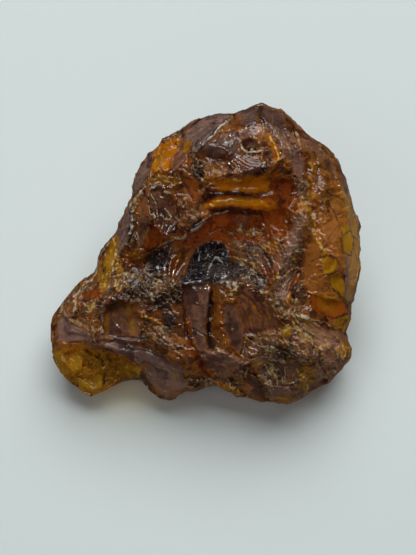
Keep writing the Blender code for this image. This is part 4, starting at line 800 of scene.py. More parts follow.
SHELL = Region("right side: the clear shell crazed with fine cracks", (300, 120), (
    Facet("flank facet", (4,108, 12,112, 18,124, 20,142, 12,156, 4,164, 2,142), (0.15, 0.0), 0.2),
    Facet("orange wedge", (10,173, 26,178, 42,182, 48,192, 36,198, 20,194, 11,186), (0.1, 0.2), 0.25),
    Facet("rose plate", (22,104, 34,98, 40,106, 36,120, 26,124), (0.1, 0.1), 0.1),
    Facet("clear strip", (44,112, 54,94, 59,116, 60,142, 56,168, 50,184, 43,176, 46,148), (-0.1, 0.2), 0.0,
        HAZE, 0.9, 2),
    Facet("gold plate a", (22,140, 30,137, 36,142, 34,152, 24,154), (0.2, 0.1), 0.1, None, 0.0, 1.5),
    Facet("gold plate b", (30,156, 38,154, 45,166, 42,176, 32,168), (0.1, 0.3), 0.1, None, 0.0, 1.5),
    Facet("gold plate c", (44,114, 50,112, 52,126, 49,135, 43,130), (0.3, 0.0), 0.1, None, 0.0, 1.5),
    Patch("shell gold", (10,116, 26,94, 40,92, 50,106, 52,132, 46,160, 46,180, 36,196, 12,188, 4,160,
        6,136), GOLD, 0.32, 6.0),
    Patch("shell light", (10,116, 26,94, 40,70, 52,94, 58,120, 58,170, 50,200, 30,198, 10,184, 4,150), GLOW,
        0.6, 6.0),
    Patch("strip light", (40,66, 52,80, 62,116, 62,150, 54,182, 46,182, 50,140, 48,110), GLOW, 1.0, 3.0),
    Patch("gold plate a tint", (22,140, 30,137, 37,142, 34,153, 23,154), HONEY, 1.0, 1.5),
    Patch("gold plate b tint", (30,156, 38,154, 46,166, 43,178, 31,168), HONEY, 1.0, 1.5),
    Patch("gold plate c tint", (43,116, 50,112, 53,124, 50,135, 43,131), HONEY, 1.0, 1.5),
    Patch("gold plate d tint", (40,108, 48,104, 50,111, 43,116), HONEY, 0.8, 1.5),
    Patch("wedge light", (8,170, 44,181, 49,193, 36,199, 8,186), GLOW, 0.4),
    Patch("orange wedge tint", (8,170, 26,176, 44,181, 49,193, 36,199, 18,195, 8,186), EMBER, 0.75, 3.0),
    Patch("orange wedge hot", (18,178, 34,182, 36,192, 22,192), HONEY, 0.4),
    Patch("shell foot gold", (34,198, 48,193, 51,202, 44,211, 34,207), HONEY, 0.8, 2.0),
    Patch("flank amber", (3,116, 16,112, 22,132, 20,160, 8,172, 2,148), GOLD, 0.3),
    Patch("shell upper", (6,30, 22,34, 40,60, 50,86, 36,92, 18,96, 6,110, 5,60), HONEY, 0.28, 5.0),
    Patch("shell upper ember", (6,40, 18,50, 22,80, 8,102, 4,70), EMBER, 0.4, 5.0),
    Patch("outer haze", (40,52, 52,76, 63,116, 63,150, 54,182, 46,184, 50,150, 54,116, 44,84), HAZE, 0.8,
        3.0),
    Patch("outer honey", (38,62, 50,76, 63,116, 63,150, 54,182, 46,184, 48,150, 50,116, 42,88), HONEY, 0.5,
        3.0),
    Patch("rose plate tint", (21,104, 34,97, 41,106, 36,121, 25,125), HAZE, 0.25, 2.0),
    Patch("outer rim haze", (0,12, 22,26, 40,50, 34,56, 16,36, 0,26), HAZE, 0.4),
    Patch("shell crumble", (0,20, 16,28, 30,50, 22,80, 10,94, 2,70), RUBBLE, 0.3, 6.0),
    Line("shell seam", (6,85, 12,96, 15,110, 18,122, 24,132, 22,142), 1.1, 0.25, HONEY, 1.0, 0.1),
    Line("seam white a", (13,94, 15,99), 1.8, 0.3, PALE, 1.0, 0.1),
    Line("seam white b", (12,108, 13,114), 1.2, 0.25, PALE, 0.8, 0.2),
    Line("seam white c", (19,122, 22,127, 21,132), 1.6, 0.3, PALE, 0.75, 0.3),
    Line("plate crack a", (18,138, 24,136, 31,136, 37,140, 40,148), 0.55, -0.15, SOOT, 0.75),
    Line("plate crack b", (24,155, 30,155, 36,152, 40,148), 0.55, -0.15, SOOT, 0.75),
    Line("plate crack c", (29,156, 30,164, 34,171, 42,178), 0.55, -0.15, SOOT, 0.75),
    Line("plate crack d", (40,148, 44,158, 46,168, 44,178), 0.55, -0.15, SOOT, 0.65),
    Line("plate crack e", (42,116, 42,126, 46,135, 52,136), 0.55, -0.15, SOOT, 0.75),
    Line("plate crack f", (44,116, 50,110, 54,118, 52,136), 0.55, -0.15, SOOT, 0.65),
    Line("plate crack g", (30,86, 36,96, 40,106, 42,116), 0.55, -0.15, SOOT, 0.65),
    Line("plate crack h", (40,106, 32,112, 26,124, 18,138), 0.55, -0.15, SOOT, 0.45),
    Line("plate crack i", (52,136, 50,146, 46,156), 0.55, -0.15, SOOT, 0.55),
    Line("plate crack j", (10,142, 18,138), 0.55, -0.15, SOOT, 0.45),
    Line("plate crack k", (18,160, 24,155), 0.55, -0.15, SOOT, 0.45),
    Line("plate crack l", (20,172, 26,164, 30,164), 0.55, -0.15, SOOT, 0.45),
    Line("plate crack m", (46,94, 50,102, 50,110), 0.55, -0.15, SOOT, 0.45),
    Line("plate crack n", (36,96, 44,92, 50,94), 0.55, -0.15, SOOT, 0.45),
    Line("plate crack o", (54,118, 58,120), 0.55, -0.15, SOOT, 0.45),
    Line("plate crack p", (46,156, 52,160, 56,158), 0.55, -0.15, SOOT, 0.35),
    Line("strip edge", (52,88, 56,106, 57,128, 55,152, 50,170), 0.8, 0.15, PALE, 0.35, 0.4),
    Line("wedge edge", (8,172, 18,176, 30,178, 42,180), 0.9, 0.3, HONEY, 0.9, 0.2),
    Line("shell foot crack", (34,198, 42,196, 49,194), 0.9, -0.4, SOOT, 0.7),
    Line("upper crack a", (12,30, 18,46, 16,62, 22,78), 0.8, -0.3, SOOT, 0.5),
    Line("upper crack b", (18,46, 28,50, 38,60), 0.8, -0.3, SOOT, 0.5),
    Line("upper crack c", (22,78, 34,76, 44,80), 0.8, -0.3, SOOT, 0.5),
    Line("upper specks", (6,52, 9,60, 7,70), 1.6, 0.25, PALE, 0.45, 0.6),
    Line("upper gold specks", (9,40, 12,52, 10,66, 14,78), 1.8, 0.2, HONEY, 0.9, 0.5),
    Line("rim crust", (1,8, 6,16, 16,24, 26,34), 1.1, 0.15, PALE, 0.4, 0.6),
    Line("shell ridge", (22,30, 34,46, 42,66, 46,84), 1.6, 0.3, HONEY, 0.35, 0.3),
))

HEEL = Region("right foot: dark glass bound with tan crust", (240, 310), (
    Facet("heel top", (64,12, 82,14, 100,22, 104,30, 90,32, 72,26), (-0.05, 0.1), 0.15, HAZE, 0.4),
    Facet("heel plate a", (46,26, 58,28, 64,38, 60,50, 50,42), (0.2, 0.1), 0.2),
    Facet("heel plate b", (66,30, 78,32, 82,42, 76,52, 66,46), (-0.1, 0.15), 0.2),
    Facet("heel plate c", (82,36, 92,34, 98,46, 92,56, 84,50), (-0.15, -0.1), 0.2, HAZE, 0.3),
    Facet("heel plate d", (40,54, 58,56, 60,68, 50,74, 40,66), (0.1, -0.2), 0.25, HAZE, 0.15),
    Facet("heel plate e", (10,40, 22,42, 26,52, 22,66, 10,62), (-0.1, 0), 0.2, HAZE, 0.25),
    Facet("heel plate f", (24,74, 40,76, 52,84, 46,92, 30,90), (-0.1, 0.1), -0.2, HAZE, 0.25),
    Facet("heel plate g", (60,70, 78,66, 88,70, 78,80, 62,84), (0, 0.1), -0.1, HAZE, 0.2),
    Facet("dark chip", (7,33, 14,33, 20,40, 16,46, 8,44), (0.1, 0.3), 0.2),
    Patch("heel light", (10,34, 60,12, 100,24, 110,42, 94,66, 60,86, 26,90), GLOW, 0.7, 5.0),
    Patch("heel dark", (6,28, 40,30, 70,30, 82,46, 80,66, 60,86, 22,86, 6,62), SHADE, 0.3, 6.0),
    Patch("heel mauve", (10,34, 60,12, 100,24, 110,42, 94,66, 60,86, 26,90), HAZE, 0.5, 5.0),
    Patch("dark chip tint", (6,32, 16,32, 21,40, 16,47, 7,45), HONEY, 0.2, 2.0),
    Patch("black pit a", (36,40, 44,36, 54,40, 60,48, 50,51, 38,48), SHADE, 1.0, 2.0),
    Patch("black pit b", (22,54, 30,53, 36,60, 32,67, 23,64), SHADE, 1.0, 2.0),
    Patch("yellow patch", (40,17, 48,15, 52,20, 48,26, 41,25), HONEY, 0.95, 2.0),
    Patch("yellow patch crust", (41,19, 48,17, 50,22, 43,25), PALE, 0.6, 2.0),
    Patch("gold heel", (58,54, 74,54, 78,68, 68,82, 58,78), HONEY, 0.5),
    Patch("gold heel side", (100,30, 110,32, 111,46, 104,52, 98,44), HONEY, 0.5, 3.0),
    Patch("gold toe", (38,84, 52,86, 60,90, 46,95, 36,92), HONEY, 0.55, 3.0),
    Patch("ember heel", (80,54, 94,56, 90,66, 78,66), EMBER, 0.6, 3.0),
    Patch("heel rubble", (8,26, 48,14, 100,24, 110,42, 96,66, 60,88, 26,92, 6,64), RUBBLE, 0.85, 5.0),
    Patch("heel gold net", (22,30, 46,14, 72,24, 90,42, 78,72, 56,86, 46,70, 66,50), GOLD, 0.3, 6.0),
    Patch("heel speckle", (22,26, 60,12, 82,30, 90,50, 66,62, 36,50), PALE, 0.22, 5.0),
    Ledge("heel step", (30,51, 44,52, 58,53, 72,56), 6.0, 0.5),
    Ledge("heel brow", (22,28, 36,36, 50,36, 60,48), 5.0, 0.6),
    Line("heel line a", (18,28, 22,35, 28,44, 36,52), 1.1, 0.4, PALE, 0.75, 0.25),
    Line("heel line b", (28,50, 38,51, 48,53, 60,55), 1.0, 0.4, PALE, 0.7, 0.25),
    Line("heel line c", (36,40, 44,37, 52,40, 58,48, 62,54), 0.9, 0.35, PALE, 0.7, 0.3),
    Line("heel line d", (26,18, 30,26, 34,34, 31,40), 1.6, 0.4, PALE, 0.75, 0.35),
    Line("heel line e", (40,37, 48,32, 58,36, 66,46, 72,52), 1.0, 0.35, PALE, 0.6, 0.4),
    Line("heel line f", (60,12, 66,22, 74,34, 78,46), 1.1, 0.35, PALE, 0.6, 0.45),
    Line("heel line g", (70,20, 76,30, 81,40, 82,50), 1.0, 0.3, PALE, 0.6, 0.4),
    Line("heel line h", (86,30, 89,38, 93,44), 1.4, 0.35, PALE, 0.75, 0.3),
    Line("heel line i", (82,53, 85,50, 87,54, 83,57, 81,54), 0.9, 0.3, PALE, 0.65, 0.2),
    Line("heel line j", (56,20, 64,32, 68,42), 1.0, 0.3, PALE, 0.5, 0.5),
    Line("heel line k", (44,56, 45,63, 43,71), 1.2, 0.35, PALE, 0.8, 0.3),
    Line("heel line l", (24,54, 27,60, 32,65), 1.0, 0.35, PALE, 0.75, 0.3),
    Line("heel line m", (29,68, 31,74, 33,80), 1.7, 0.35, PALE, 0.8, 0.35),
    Line("heel line n", (34,66, 38,72, 36,78), 1.1, 0.3, PALE, 0.65, 0.4),
    Line("heel line o", (56,56, 58,64, 63,72, 68,78), 1.1, 0.35, HONEY, 0.9, 0.3),
    Line("heel line p", (44,80, 50,86, 58,90), 1.1, 0.25, PALE, 0.5, 0.5),
    Line("heel line q", (66,58, 72,62, 78,60), 1.2, 0.3, HONEY, 0.9, 0.4),
    Line("heel line r", (96,34, 102,40, 108,42), 1.2, 0.3, PALE, 0.5, 0.5),
    Line("heel line s", (64,8, 78,16, 92,24, 102,32), 1.0, 0.35, PALE, 0.55, 0.4),
    Line("heel crust edge", (110,34, 110,42, 105,50, 98,57, 92,66), 1.3, 0.2, PALE, 0.45, 0.5),
    Line("toe edge", (22,90, 36,93, 48,93, 60,89, 72,82), 1.2, 0.15, PALE, 0.4, 0.55),
    Line("heel crack a", (64,54, 72,46, 74,34), 0.9, -0.45, SOOT, 0.8),
    Line("heel crack b", (36,74, 48,76, 60,72), 0.9, -0.45, SOOT, 0.8),
    Line("heel crack c", (80,40, 80,54, 86,64), 0.9, -0.45, SOOT, 0.7),
    Line("heel crack d", (50,28, 52,40), 0.9, -0.4, SOOT, 0.7),
    Line("pit hair a", (38,44, 46,40, 56,42), 0.6, 0.25, HAZE, 1.0, 0.1),
    Line("pit hair b", (40,48, 48,46, 58,49), 0.6, 0.2, HAZE, 0.9, 0.1),
    Sheaf("heel fan", (54,4, 68,11, 84,20, 98,28), (50,12, 62,26, 72,40, 81,56), 10,
        tints=(PALE, HONEY, PALE), stray=2.5),
    Sheaf("heel fan low", (60,26, 66,36, 71,46, 74,60), (40,26, 44,35, 50,43, 56,52), 6,
        tints=(PALE, HONEY)),
    Sheaf("heel foot", (58,56, 63,64, 67,72, 69,82), (22,56, 27,65, 31,74, 35,84), 7, tints=(PALE, HONEY),
        stray=3.0),
    Sheaf("heel side", (82,32, 89,38, 94,46, 96,56), (98,28, 103,34, 106,42, 104,52), 5,
        tints=(HONEY, PALE)),
    Sheaf("heel collar", (10,42, 18,40, 28,39, 38,37), (12,62, 20,58, 28,54, 36,52), 5,
        tints=(PALE, HONEY)),
))

REGIONS = (SHOULDER, HOOD, LEDGES, FIN, PITS, LOBE, COLUMNS, RIDGE, SHELL, HEEL)


# Finishes


class Graph:
    """A node tree with short ways to add what the finishes use."""

    def __init__(self, tree: bpy.types.NodeTree) -> None:
        """Start from a material's tree or a group's."""
        self.tree = tree

    def add(self, kind: str, settings: dict | None = None, **inputs: object) -> bpy.types.Node:
        """Add a node.

        Args:
            kind: The node's type without the ShaderNode prefix.
            settings: Properties of the node.
            inputs: Values or outputs for its sockets, named as the sockets are, with _ for a space.

        Returns:
            The node.
        """
        node = self.tree.nodes.new("ShaderNode" + kind)
        for name, value in (settings or {}).items():
            setattr(node, name, value)
        for name, value in inputs.items():
            self.feed(node.inputs[name.replace("_", " ")], value)
        return node

    def feed(self, socket: bpy.types.NodeSocket, value: object) -> None:
        """Link an output to a socket, or set the socket's value.

        Args:
            socket: The input.
            value: An output socket, a number or a colour.
        """
        if isinstance(value, bpy.types.NodeSocket):
            self.tree.links.new(value, socket)
        elif isinstance(value, tuple):
            socket.default_value = (*value[:3], 1.0) if socket.type == "RGBA" else value
        else:
            socket.default_value = value

    def math(self, operation: str, *values: object) -> bpy.types.NodeSocket:
        """The result of a sum on one or two numbers.

        Args:
            operation: The Math node's operation.
            values: Outputs or numbers.

        Returns:
            The output that holds it.
        """
        node = self.add("Math", {"operation": operation})
        for socket, value in zip(node.inputs, values):
            self.feed(socket, value)
        return node.outputs[0]

    def times(self, *values: object) -> bpy.types.NodeSocket:
        """The product of the values."""
        return functools.reduce(functools.partial(self.math, "MULTIPLY"), values)

    def plus(self, *values: object) -> bpy.types.NodeSocket:
        """The sum of the values."""
        return functools.reduce(functools.partial(self.math, "ADD"), values)

    def less(self, first: object, second: object) -> bpy.types.NodeSocket:
        """The first value less the second."""
        return self.math("SUBTRACT", first, second)

    def most(self, first: object, second: object) -> bpy.types.NodeSocket:
        """The greater of two values."""
        return self.math("MAXIMUM", first, second)

    def vector(self, operation: str, *values: object) -> bpy.types.NodeSocket:
        """The result of a sum on vectors.

        Args:
            operation: The Vector Math node's operation.
            values: Outputs or vectors.

        Returns:
            The output that holds it.
        """
        node = self.add("VectorMath", {"operation": operation})
        for socket, value in zip(node.inputs, values):
            self.feed(socket, value)
        return node.outputs["Value" if operation == "DOT_PRODUCT" else "Vector"]

    def mix(self, share: object, under: object, over: object) -> bpy.types.NodeSocket:
        """A colour laid over another.

        Args:
            share: How much of the upper one shows.
            under: The lower colour.
            over: The upper colour.

        Returns:
            The mixed colour.
        """
        node = self.add("Mix", {"data_type": "RGBA"})
        colours = [socket for socket in node.inputs if socket.type == "RGBA"]
        for socket, value in zip((node.inputs["Factor"], *colours), (share, under, over)):
            self.feed(socket, value)
        return next(socket for socket in node.outputs if socket.type == "RGBA")

    def band(self, value: object, edges: tuple[float, float]) -> bpy.types.NodeSocket:
        """A smooth step.

        Args:
            value: What it depends on.
            edges: Where the step is still 0, and where it is 1.

        Returns:
            The step, from 0 to 1.
        """
        low, high = edges
        smoothly = {"interpolation_type": "SMOOTHSTEP"}
        node = self.add("MapRange", smoothly, Value=value, From_Min=low, From_Max=high)
        return node.outputs["Result"]

    def mask(self, name: str | Tint) -> bpy.types.NodeSocket:
        """A number kept on the mesh's own points."""
        return self.add("Attribute", {"attribute_name": getattr(name, "value", name)}).outputs["Fac"]

    def cloud(self, size_mm: float, detail: float = 3.0, place: object = None) -> bpy.types.NodeSocket:
        """Noise over the lump's own coordinates.

        Args:
            size_mm: The size of its lumps.
            detail: How fine it goes.
            place: Other coordinates to read it at.

        Returns:
            The noise, from 0 to 1.
        """
        place = place or self.add("TexCoord").outputs["Object"]
        return self.add("TexNoise", Scale=1.0 / (size_mm * MM), Detail=detail, Vector=place).outputs["Fac"]


WARM_EDGES = (0.15, 0.6)


def dry_crust() -> bpy.types.NodeTree:
    """The node group for dry crust's colour, made once: golden on golden resin, and frosty in the pits.

    Returns:
        The group, with the colours Dry, Warm and Frost as inputs and Colour as its output.
    """
    name = "dry_crust"
    if name in bpy.data.node_groups:
        return bpy.data.node_groups[name]
    tree = bpy.data.node_groups.new(name, "ShaderNodeTree")
    for socket in ("Dry", "Warm", "Frost"):
        tree.interface.new_socket(socket, in_out="INPUT", socket_type="NodeSocketColor")
    tree.interface.new_socket("Colour", in_out="OUTPUT", socket_type="NodeSocketColor")
    graph = Graph(tree)
    given = tree.nodes.new("NodeGroupInput").outputs
    warm = graph.band(graph.most(graph.mask(HONEY), graph.mask(GOLD)), WARM_EDGES)
    colour = graph.mix(graph.mask(SOOT), graph.mix(warm, given["Dry"], given["Warm"]), given["Frost"])
    graph.feed(tree.nodes.new("NodeGroupOutput").inputs["Colour"], colour)
    return tree


def dry_colour(graph: Graph, dry: object, warm: Colour, frost: Colour) -> bpy.types.NodeSocket:
    """The dry crust's colour in a material, from the shared group.

    Args:
        graph: The material's tree.
        dry: The colour on brown resin.
        warm: The colour on golden resin.
        frost: The colour in the pits.

    Returns:
        The colour.
    """
    node = graph.tree.nodes.new("ShaderNodeGroup")
    node.node_tree = dry_crust()
    for socket, value in zip(node.inputs, (dry, warm, frost)):
        graph.feed(socket, value)
    return node.outputs["Colour"]


@dataclass(frozen=True)
class Shade:
    """One hue of the resin: its colour where little light comes through, and where much does."""

    deep: Colour
    bright: Colour


@dataclass(frozen=True)
class HueLayer(Shade):
    """A hue that a tint lays over the resin, and how much noise tears its edge; for the cloudy tint the hue
    is partly a painted sheen.
    """

    tint: Tint
    torn: float = 0.9


@dataclass(frozen=True)
class InnerLight:
    """Light that fracture faces inside the resin send back: each cell of a scattering leans its own way."""

    faces: tuple[tuple[float, float], ...] = ((3.2, 0.55), (1.3, 0.45))
    bias: float = 0.47
    lean: float = 1.6
    own: float = 0.7
    streaks: float = 1.6
    streak_size: float = 0.42
    streak_detail: float = 5.0
    stretch: tuple[float, float] = (1.3, 0.15)
    calmer: float = 0.5
    glow: float = 0.45
    shaded: float = 0.35

    def share(self, graph: Graph, place: bpy.types.NodeSocket) -> bpy.types.NodeSocket:
        """How much light comes back.

        Args:
            graph: The material's tree.
            place: The slightly bent place on the lump.

        Returns:
            The share, from 0 to 1.
        """
        total: bpy.types.NodeSocket | float = 0.0
        for size, weight in self.faces:
            cells = graph.add("TexVoronoi", {"feature": "F1"}, Scale=1.0 / (size * MM), Vector=place)
            seed = graph.vector("SUBTRACT", cells.outputs["Color"], (HALF, HALF, HALF))
            away = graph.vector("SUBTRACT", place, cells.outputs["Position"])
            lean = graph.times(graph.vector("DOT_PRODUCT", away, seed), self.lean / (size * MM))
            own = graph.vector("DOT_PRODUCT", seed, (self.own, 0.0, 0.0))
            by, least = ((number,) * 3 for number in self.stretch)
            stretch = graph.vector("MULTIPLY_ADD", cells.outputs["Color"], by, least)
            drawn_out = graph.vector("MULTIPLY", place, stretch)
            streaks = graph.less(graph.cloud(self.streak_size * size, self.streak_detail, drawn_out), HALF)
            level = graph.plus(lean, own, graph.times(streaks, self.streaks))
            total = graph.plus(total, graph.times(level, weight))
        calm = graph.times(graph.less(1.0, graph.mask(ROUGH)), self.calmer)
        total = graph.plus(graph.times(total, graph.less(1.0, calm)), self.bias)
        total = graph.plus(total, graph.times(graph.mask(GLOW), self.glow))
        return graph.band(graph.less(total, graph.times(graph.mask(SHADE), self.shaded)), (0.0, 1.0))


# Painted glints drawn as pale lines with less than a full share are coloured here as threads.
@dataclass(frozen=True)
class Threads:
    """Thin crusted threads: those drawn one by one, and nets of finer ones over the rough skin."""

    grain_size: float = 0.22
    detail: float = 2.0
    net_detail: float = 1.5
    frayed: float = 1.6
    drawn_edges: tuple[float, float] = (0.3, 0.75)
    held_edges: tuple[float, float] = (0.05, 0.3)
    rough_edges: tuple[float, float] = (0.3, 0.8)
    off_blackish: float = 0.8
    nets: tuple[tuple[float, float], ...] = ((1.9, 0.024), (1.1, 0.034), (0.7, 0.04))
    core: float = 0.2
    field_size: float = 1.6
    field_edges: tuple[float, float] = (0.40, 0.55)
    grain_edges: tuple[float, float] = (0.35, 0.6)
    net_share: float = 0.85

    def share(self, graph: Graph, place: bpy.types.NodeSocket) -> bpy.types.NodeSocket:
        """Where they lie.

        Args:
            graph: The material's tree.
            place: The slightly bent place on the lump.

        Returns:
            The share, from 0 to 1.
        """
        grain = graph.cloud(self.grain_size, self.detail)
        held = graph.mask(PALE)
        drawn = graph.plus(held, graph.times(graph.less(grain, HALF), self.frayed))
        drawn = graph.times(graph.band(drawn, self.drawn_edges), graph.band(held, self.held_edges))
        clear = graph.less(1.0, graph.times(graph.mask(SOOT), self.off_blackish))
        clear = graph.times(clear, graph.band(graph.mask(ROUGH), self.rough_edges))
        for size, width in self.nets:
            vein = graph.math("ABSOLUTE", graph.less(graph.cloud(size, self.net_detail, place), HALF))
            thin = graph.less(1.0, graph.band(vein, (self.core * width, width)))
            field_here = graph.cloud(self.field_size * size, self.detail)
            where = graph.times(graph.band(field_here, self.field_edges), clear)
            net = graph.times(thin, where, graph.band(grain, self.grain_edges))
            drawn = graph.most(drawn, graph.times(net, self.net_share))
        return drawn


@dataclass(frozen=True)
class AmberFinish:
    """See-through resin, dark where it is thick and golden where it is thin, with painted light, sheen,
    glints and shade in its colour.
    """

    body: Shade = Shade((0.060, 0.0145, 0.009), (0.72, 0.26, 0.055))
    dyes_and_sheen: tuple[HueLayer, ...] = (
        HueLayer((0.115, 0.0125, 0.002), (0.80, 0.185, 0.012), EMBER),
        # Cloudy mauve-grey with a painted sheen: its bright colour stands in for a reflection.
        HueLayer((0.155, 0.076, 0.064), (0.61, 0.355, 0.270), HAZE, 0.7),
        HueLayer((0.46, 0.078, 0.0003), (1.0, 0.345, 0.001), GOLD),
        HueLayer((0.36, 0.115, 0.004), (1.0, 0.47, 0.014), HONEY),
    )
    # Near-black, with a grey-blue painted glint as its bright colour.
    soot: Shade = Shade((0.011, 0.012, 0.015), (0.24, 0.25, 0.27))
    thread: Shade = Shade((0.24, 0.14, 0.045), (0.76, 0.54, 0.25))
    # Painted shade: the shade mask mixes the resin's colour toward this near-black.
    black: Colour = (0.012, 0.006, 0.004)
    warm: Colour = (1.0, 0.47, 0.014)
    frost: Colour = (0.50, 0.51, 0.50)
    light: InnerLight = InnerLight()
    threads: Threads = Threads()
    warp_size: float = 1.5
    warp_detail: float = 4.0
    warp: float = 0.9
    coarse_size: float = 1.8
    crisp_size: float = 0.5
    detail: float = 8.0
    torn_where_calm: float = 0.3
    layer_edges: tuple[float, float] = (0.08, 0.85)
    held_edges: tuple[float, float] = (0.0, 0.35)
    shaded: float = 0.75
    glint_edges: tuple[float, float] = (0.5, 0.68)
    tan_edges: tuple[float, float] = (0.4, 0.65)
    transmission: float = 0.52
    gloss: float = 0.36
    ior: float = 1.54
    roughness: float = 0.06
    dullness: float = 0.3
    thread_dullness: float = 0.5
    grain_size: float = 0.7
    grain_detail: float = 5.0
    grain_depth: float = 0.15
    grain_strength: float = 0.6
    grain_where_calm: float = 0.08
    light_through: Colour = (0.85, 0.60, 0.05)
    absorption: float = 220.0

    def material(self) -> bpy.types.Material:
        """Make the resin's material.

        Returns:
            The finished material.
        """
        amber = bpy.data.materials.new("amber_resin")
        amber.use_nodes = True
        graph = Graph(amber.node_tree)
        place = graph.add("TexCoord").outputs["Object"]
        scale = 1.0 / (self.warp_size * MM)
        warp = graph.add("TexNoise", Scale=scale, Detail=self.warp_detail, Vector=place)
        bent = graph.add("MixRGB", {"blend_type": "LINEAR_LIGHT"}, Fac=self.warp * MM, Color1=place,
                         Color2=warp.outputs["Color"]).outputs[0]
        crisp = graph.cloud(self.crisp_size, self.detail, bent)
        threads = self.threads.share(graph, bent)
        colour = self._resin(graph, bent, crisp)
        # Painted glints: grey-blue highlight streaks over the near-black parts.
        glint = graph.mix(graph.band(crisp, self.glint_edges), self.soot.deep, self.soot.bright)
        colour = graph.mix(graph.mask(SOOT), colour, glint)
        tan = graph.mix(graph.band(crisp, self.tan_edges), self.thread.deep, self.thread.bright)
        colour = graph.mix(threads, colour, dry_colour(graph, tan, self.warm, self.frost))

        shader = amber.node_tree.nodes["Principled BSDF"]
        graph.feed(shader.inputs["Base Color"], colour)
        shader.inputs["Transmission Weight"].default_value = self.transmission
        shader.inputs["IOR"].default_value = self.ior
        shader.inputs["Specular IOR Level"].default_value = self.gloss
        crusted = graph.times(threads, self.thread_dullness)
        dull = graph.most(graph.times(crisp, graph.mask(ROUGH), self.dullness), crusted)
        graph.feed(shader.inputs["Roughness"], graph.plus(dull, self.roughness))
        rough = graph.plus(graph.mask(ROUGH), self.grain_where_calm)
        grain = graph.plus(graph.times(graph.cloud(self.grain_size, self.grain_detail), rough), crusted)
        bump = graph.add("Bump", Strength=self.grain_strength, Distance=self.grain_depth * MM, Height=grain)
        graph.feed(shader.inputs["Normal"], bump.outputs["Normal"])
        volume = graph.add("VolumeAbsorption", Color=self.light_through, Density=self.absorption)
        graph.feed(amber.node_tree.nodes["Material Output"].inputs["Volume"], volume.outputs[0])
        return amber

    def _resin(self, graph: Graph, place: object, crisp: object) -> bpy.types.NodeSocket:
        """The resin's colour: painted inner light and glow, the hues of its thin and cloudy parts with the
        painted sheen that the cloudy one carries, and painted shade over all.

        Args:
            graph: The material's tree.
            place: The slightly bent place on the lump.
            crisp: Fine noise at that place.

        Returns:
            The colour.
        """
        light = self.light.share(graph, place)
        calm = self.torn_where_calm
        rough = graph.plus(graph.times(graph.mask(ROUGH), 1.0 - calm), calm)
        coarse = graph.cloud(self.coarse_size, self.detail, place)
        ragged = graph.less(graph.plus(coarse, crisp), 1.0)
        colour = graph.mix(light, self.body.deep, self.body.bright)
        for hue_layer in self.dyes_and_sheen:
            held = graph.mask(hue_layer.tint)
            share = graph.band(graph.plus(held, graph.times(ragged, hue_layer.torn, rough)), self.layer_edges)
            share = graph.times(share, graph.band(held, self.held_edges))
            colour = graph.mix(share, colour, graph.mix(light, hue_layer.deep, hue_layer.bright))
        return graph.mix(graph.times(graph.mask(SHADE), self.shaded), colour, self.black)


@dataclass(frozen=True)
class CrustAndGlintFinish:
    """Dry, pale, weathered resin, and the white of painted glints drawn as pale lines."""

    tan: Colour = (0.27, 0.17, 0.07)
    white: Colour = (0.66, 0.55, 0.37)
    yellow: Colour = (0.62, 0.40, 0.09)
    frost: Colour = (0.55, 0.56, 0.55)
    thick_edges: tuple[float, float] = (0.55, 1.0)
    fleck_size: float = 0.6
    fleck_detail: float = 4.0
    fleck_edges: tuple[float, float] = (0.3, 0.6)
    roughness: float = 0.55
    from_share: float = 0.5

    def material(self) -> bpy.types.Material:
        """Make the crust's material.

        Returns:
            The finished material.
        """
        crust = bpy.data.materials.new("amber_crust_and_glints")
        crust.use_nodes = True
        graph = Graph(crust.node_tree)
        shader = crust.node_tree.nodes["Principled BSDF"]
        flecks = graph.band(graph.cloud(self.fleck_size, self.fleck_detail), self.fleck_edges)
        thick = graph.times(graph.band(graph.mask(PALE), self.thick_edges), flecks)
        dry = graph.mix(thick, self.tan, self.white)
        graph.feed(shader.inputs["Base Color"], dry_colour(graph, dry, self.yellow, self.frost))
        shader.inputs["Roughness"].default_value = self.roughness
        return crust


@dataclass(frozen=True)
class TableFinish:
    """A plain pale table."""

    colour: Colour = (0.68, 0.765, 0.755)
    roughness: float = 0.6

    def material(self) -> bpy.types.Material:
        """Make the table's material.

        Returns:
            The finished material.
        """
        table = bpy.data.materials.new("pale_table")
        table.use_nodes = True
        shader = table.node_tree.nodes["Principled BSDF"]
        shader.inputs["Base Color"].default_value = (*self.colour, 1.0)
        shader.inputs["Roughness"].default_value = self.roughness
        return table


# Carving


def smooth(value: np.ndarray, low: float, high: float) -> np.ndarray:
    """A smooth step from 0 at low to 1 at high."""
    share = np.clip((value - low) / (high - low), 0.0, 1.0)
    return share * share * (3.0 - 2.0 * share)


def turning(facing: np.ndarray, low: float, full: float, fading: float, gone: float) -> np.ndarray:
    """Where the skin turns away: 1 from full to fading, and 0 below low and above gone."""
    return smooth(facing, low, full) * (1.0 - smooth(facing, fading, gone))


def noise_at(points: np.ndarray, scale: float, shift: float = 0.0) -> np.ndarray:
    """Smooth noise at each row.

    Args:
        points: Places, two or three numbers per row.
        scale: Size of a lump of the noise, in the places' unit.
        shift: Moves the noise, to draw another.

    Returns:
        The noise, about -1 to 1.
    """
    flat = np.zeros((len(points), 3))
    flat[:, : points.shape[1]] = points / scale
    flat += shift
    return np.array([noise.noise(Vector(row)) for row in flat])


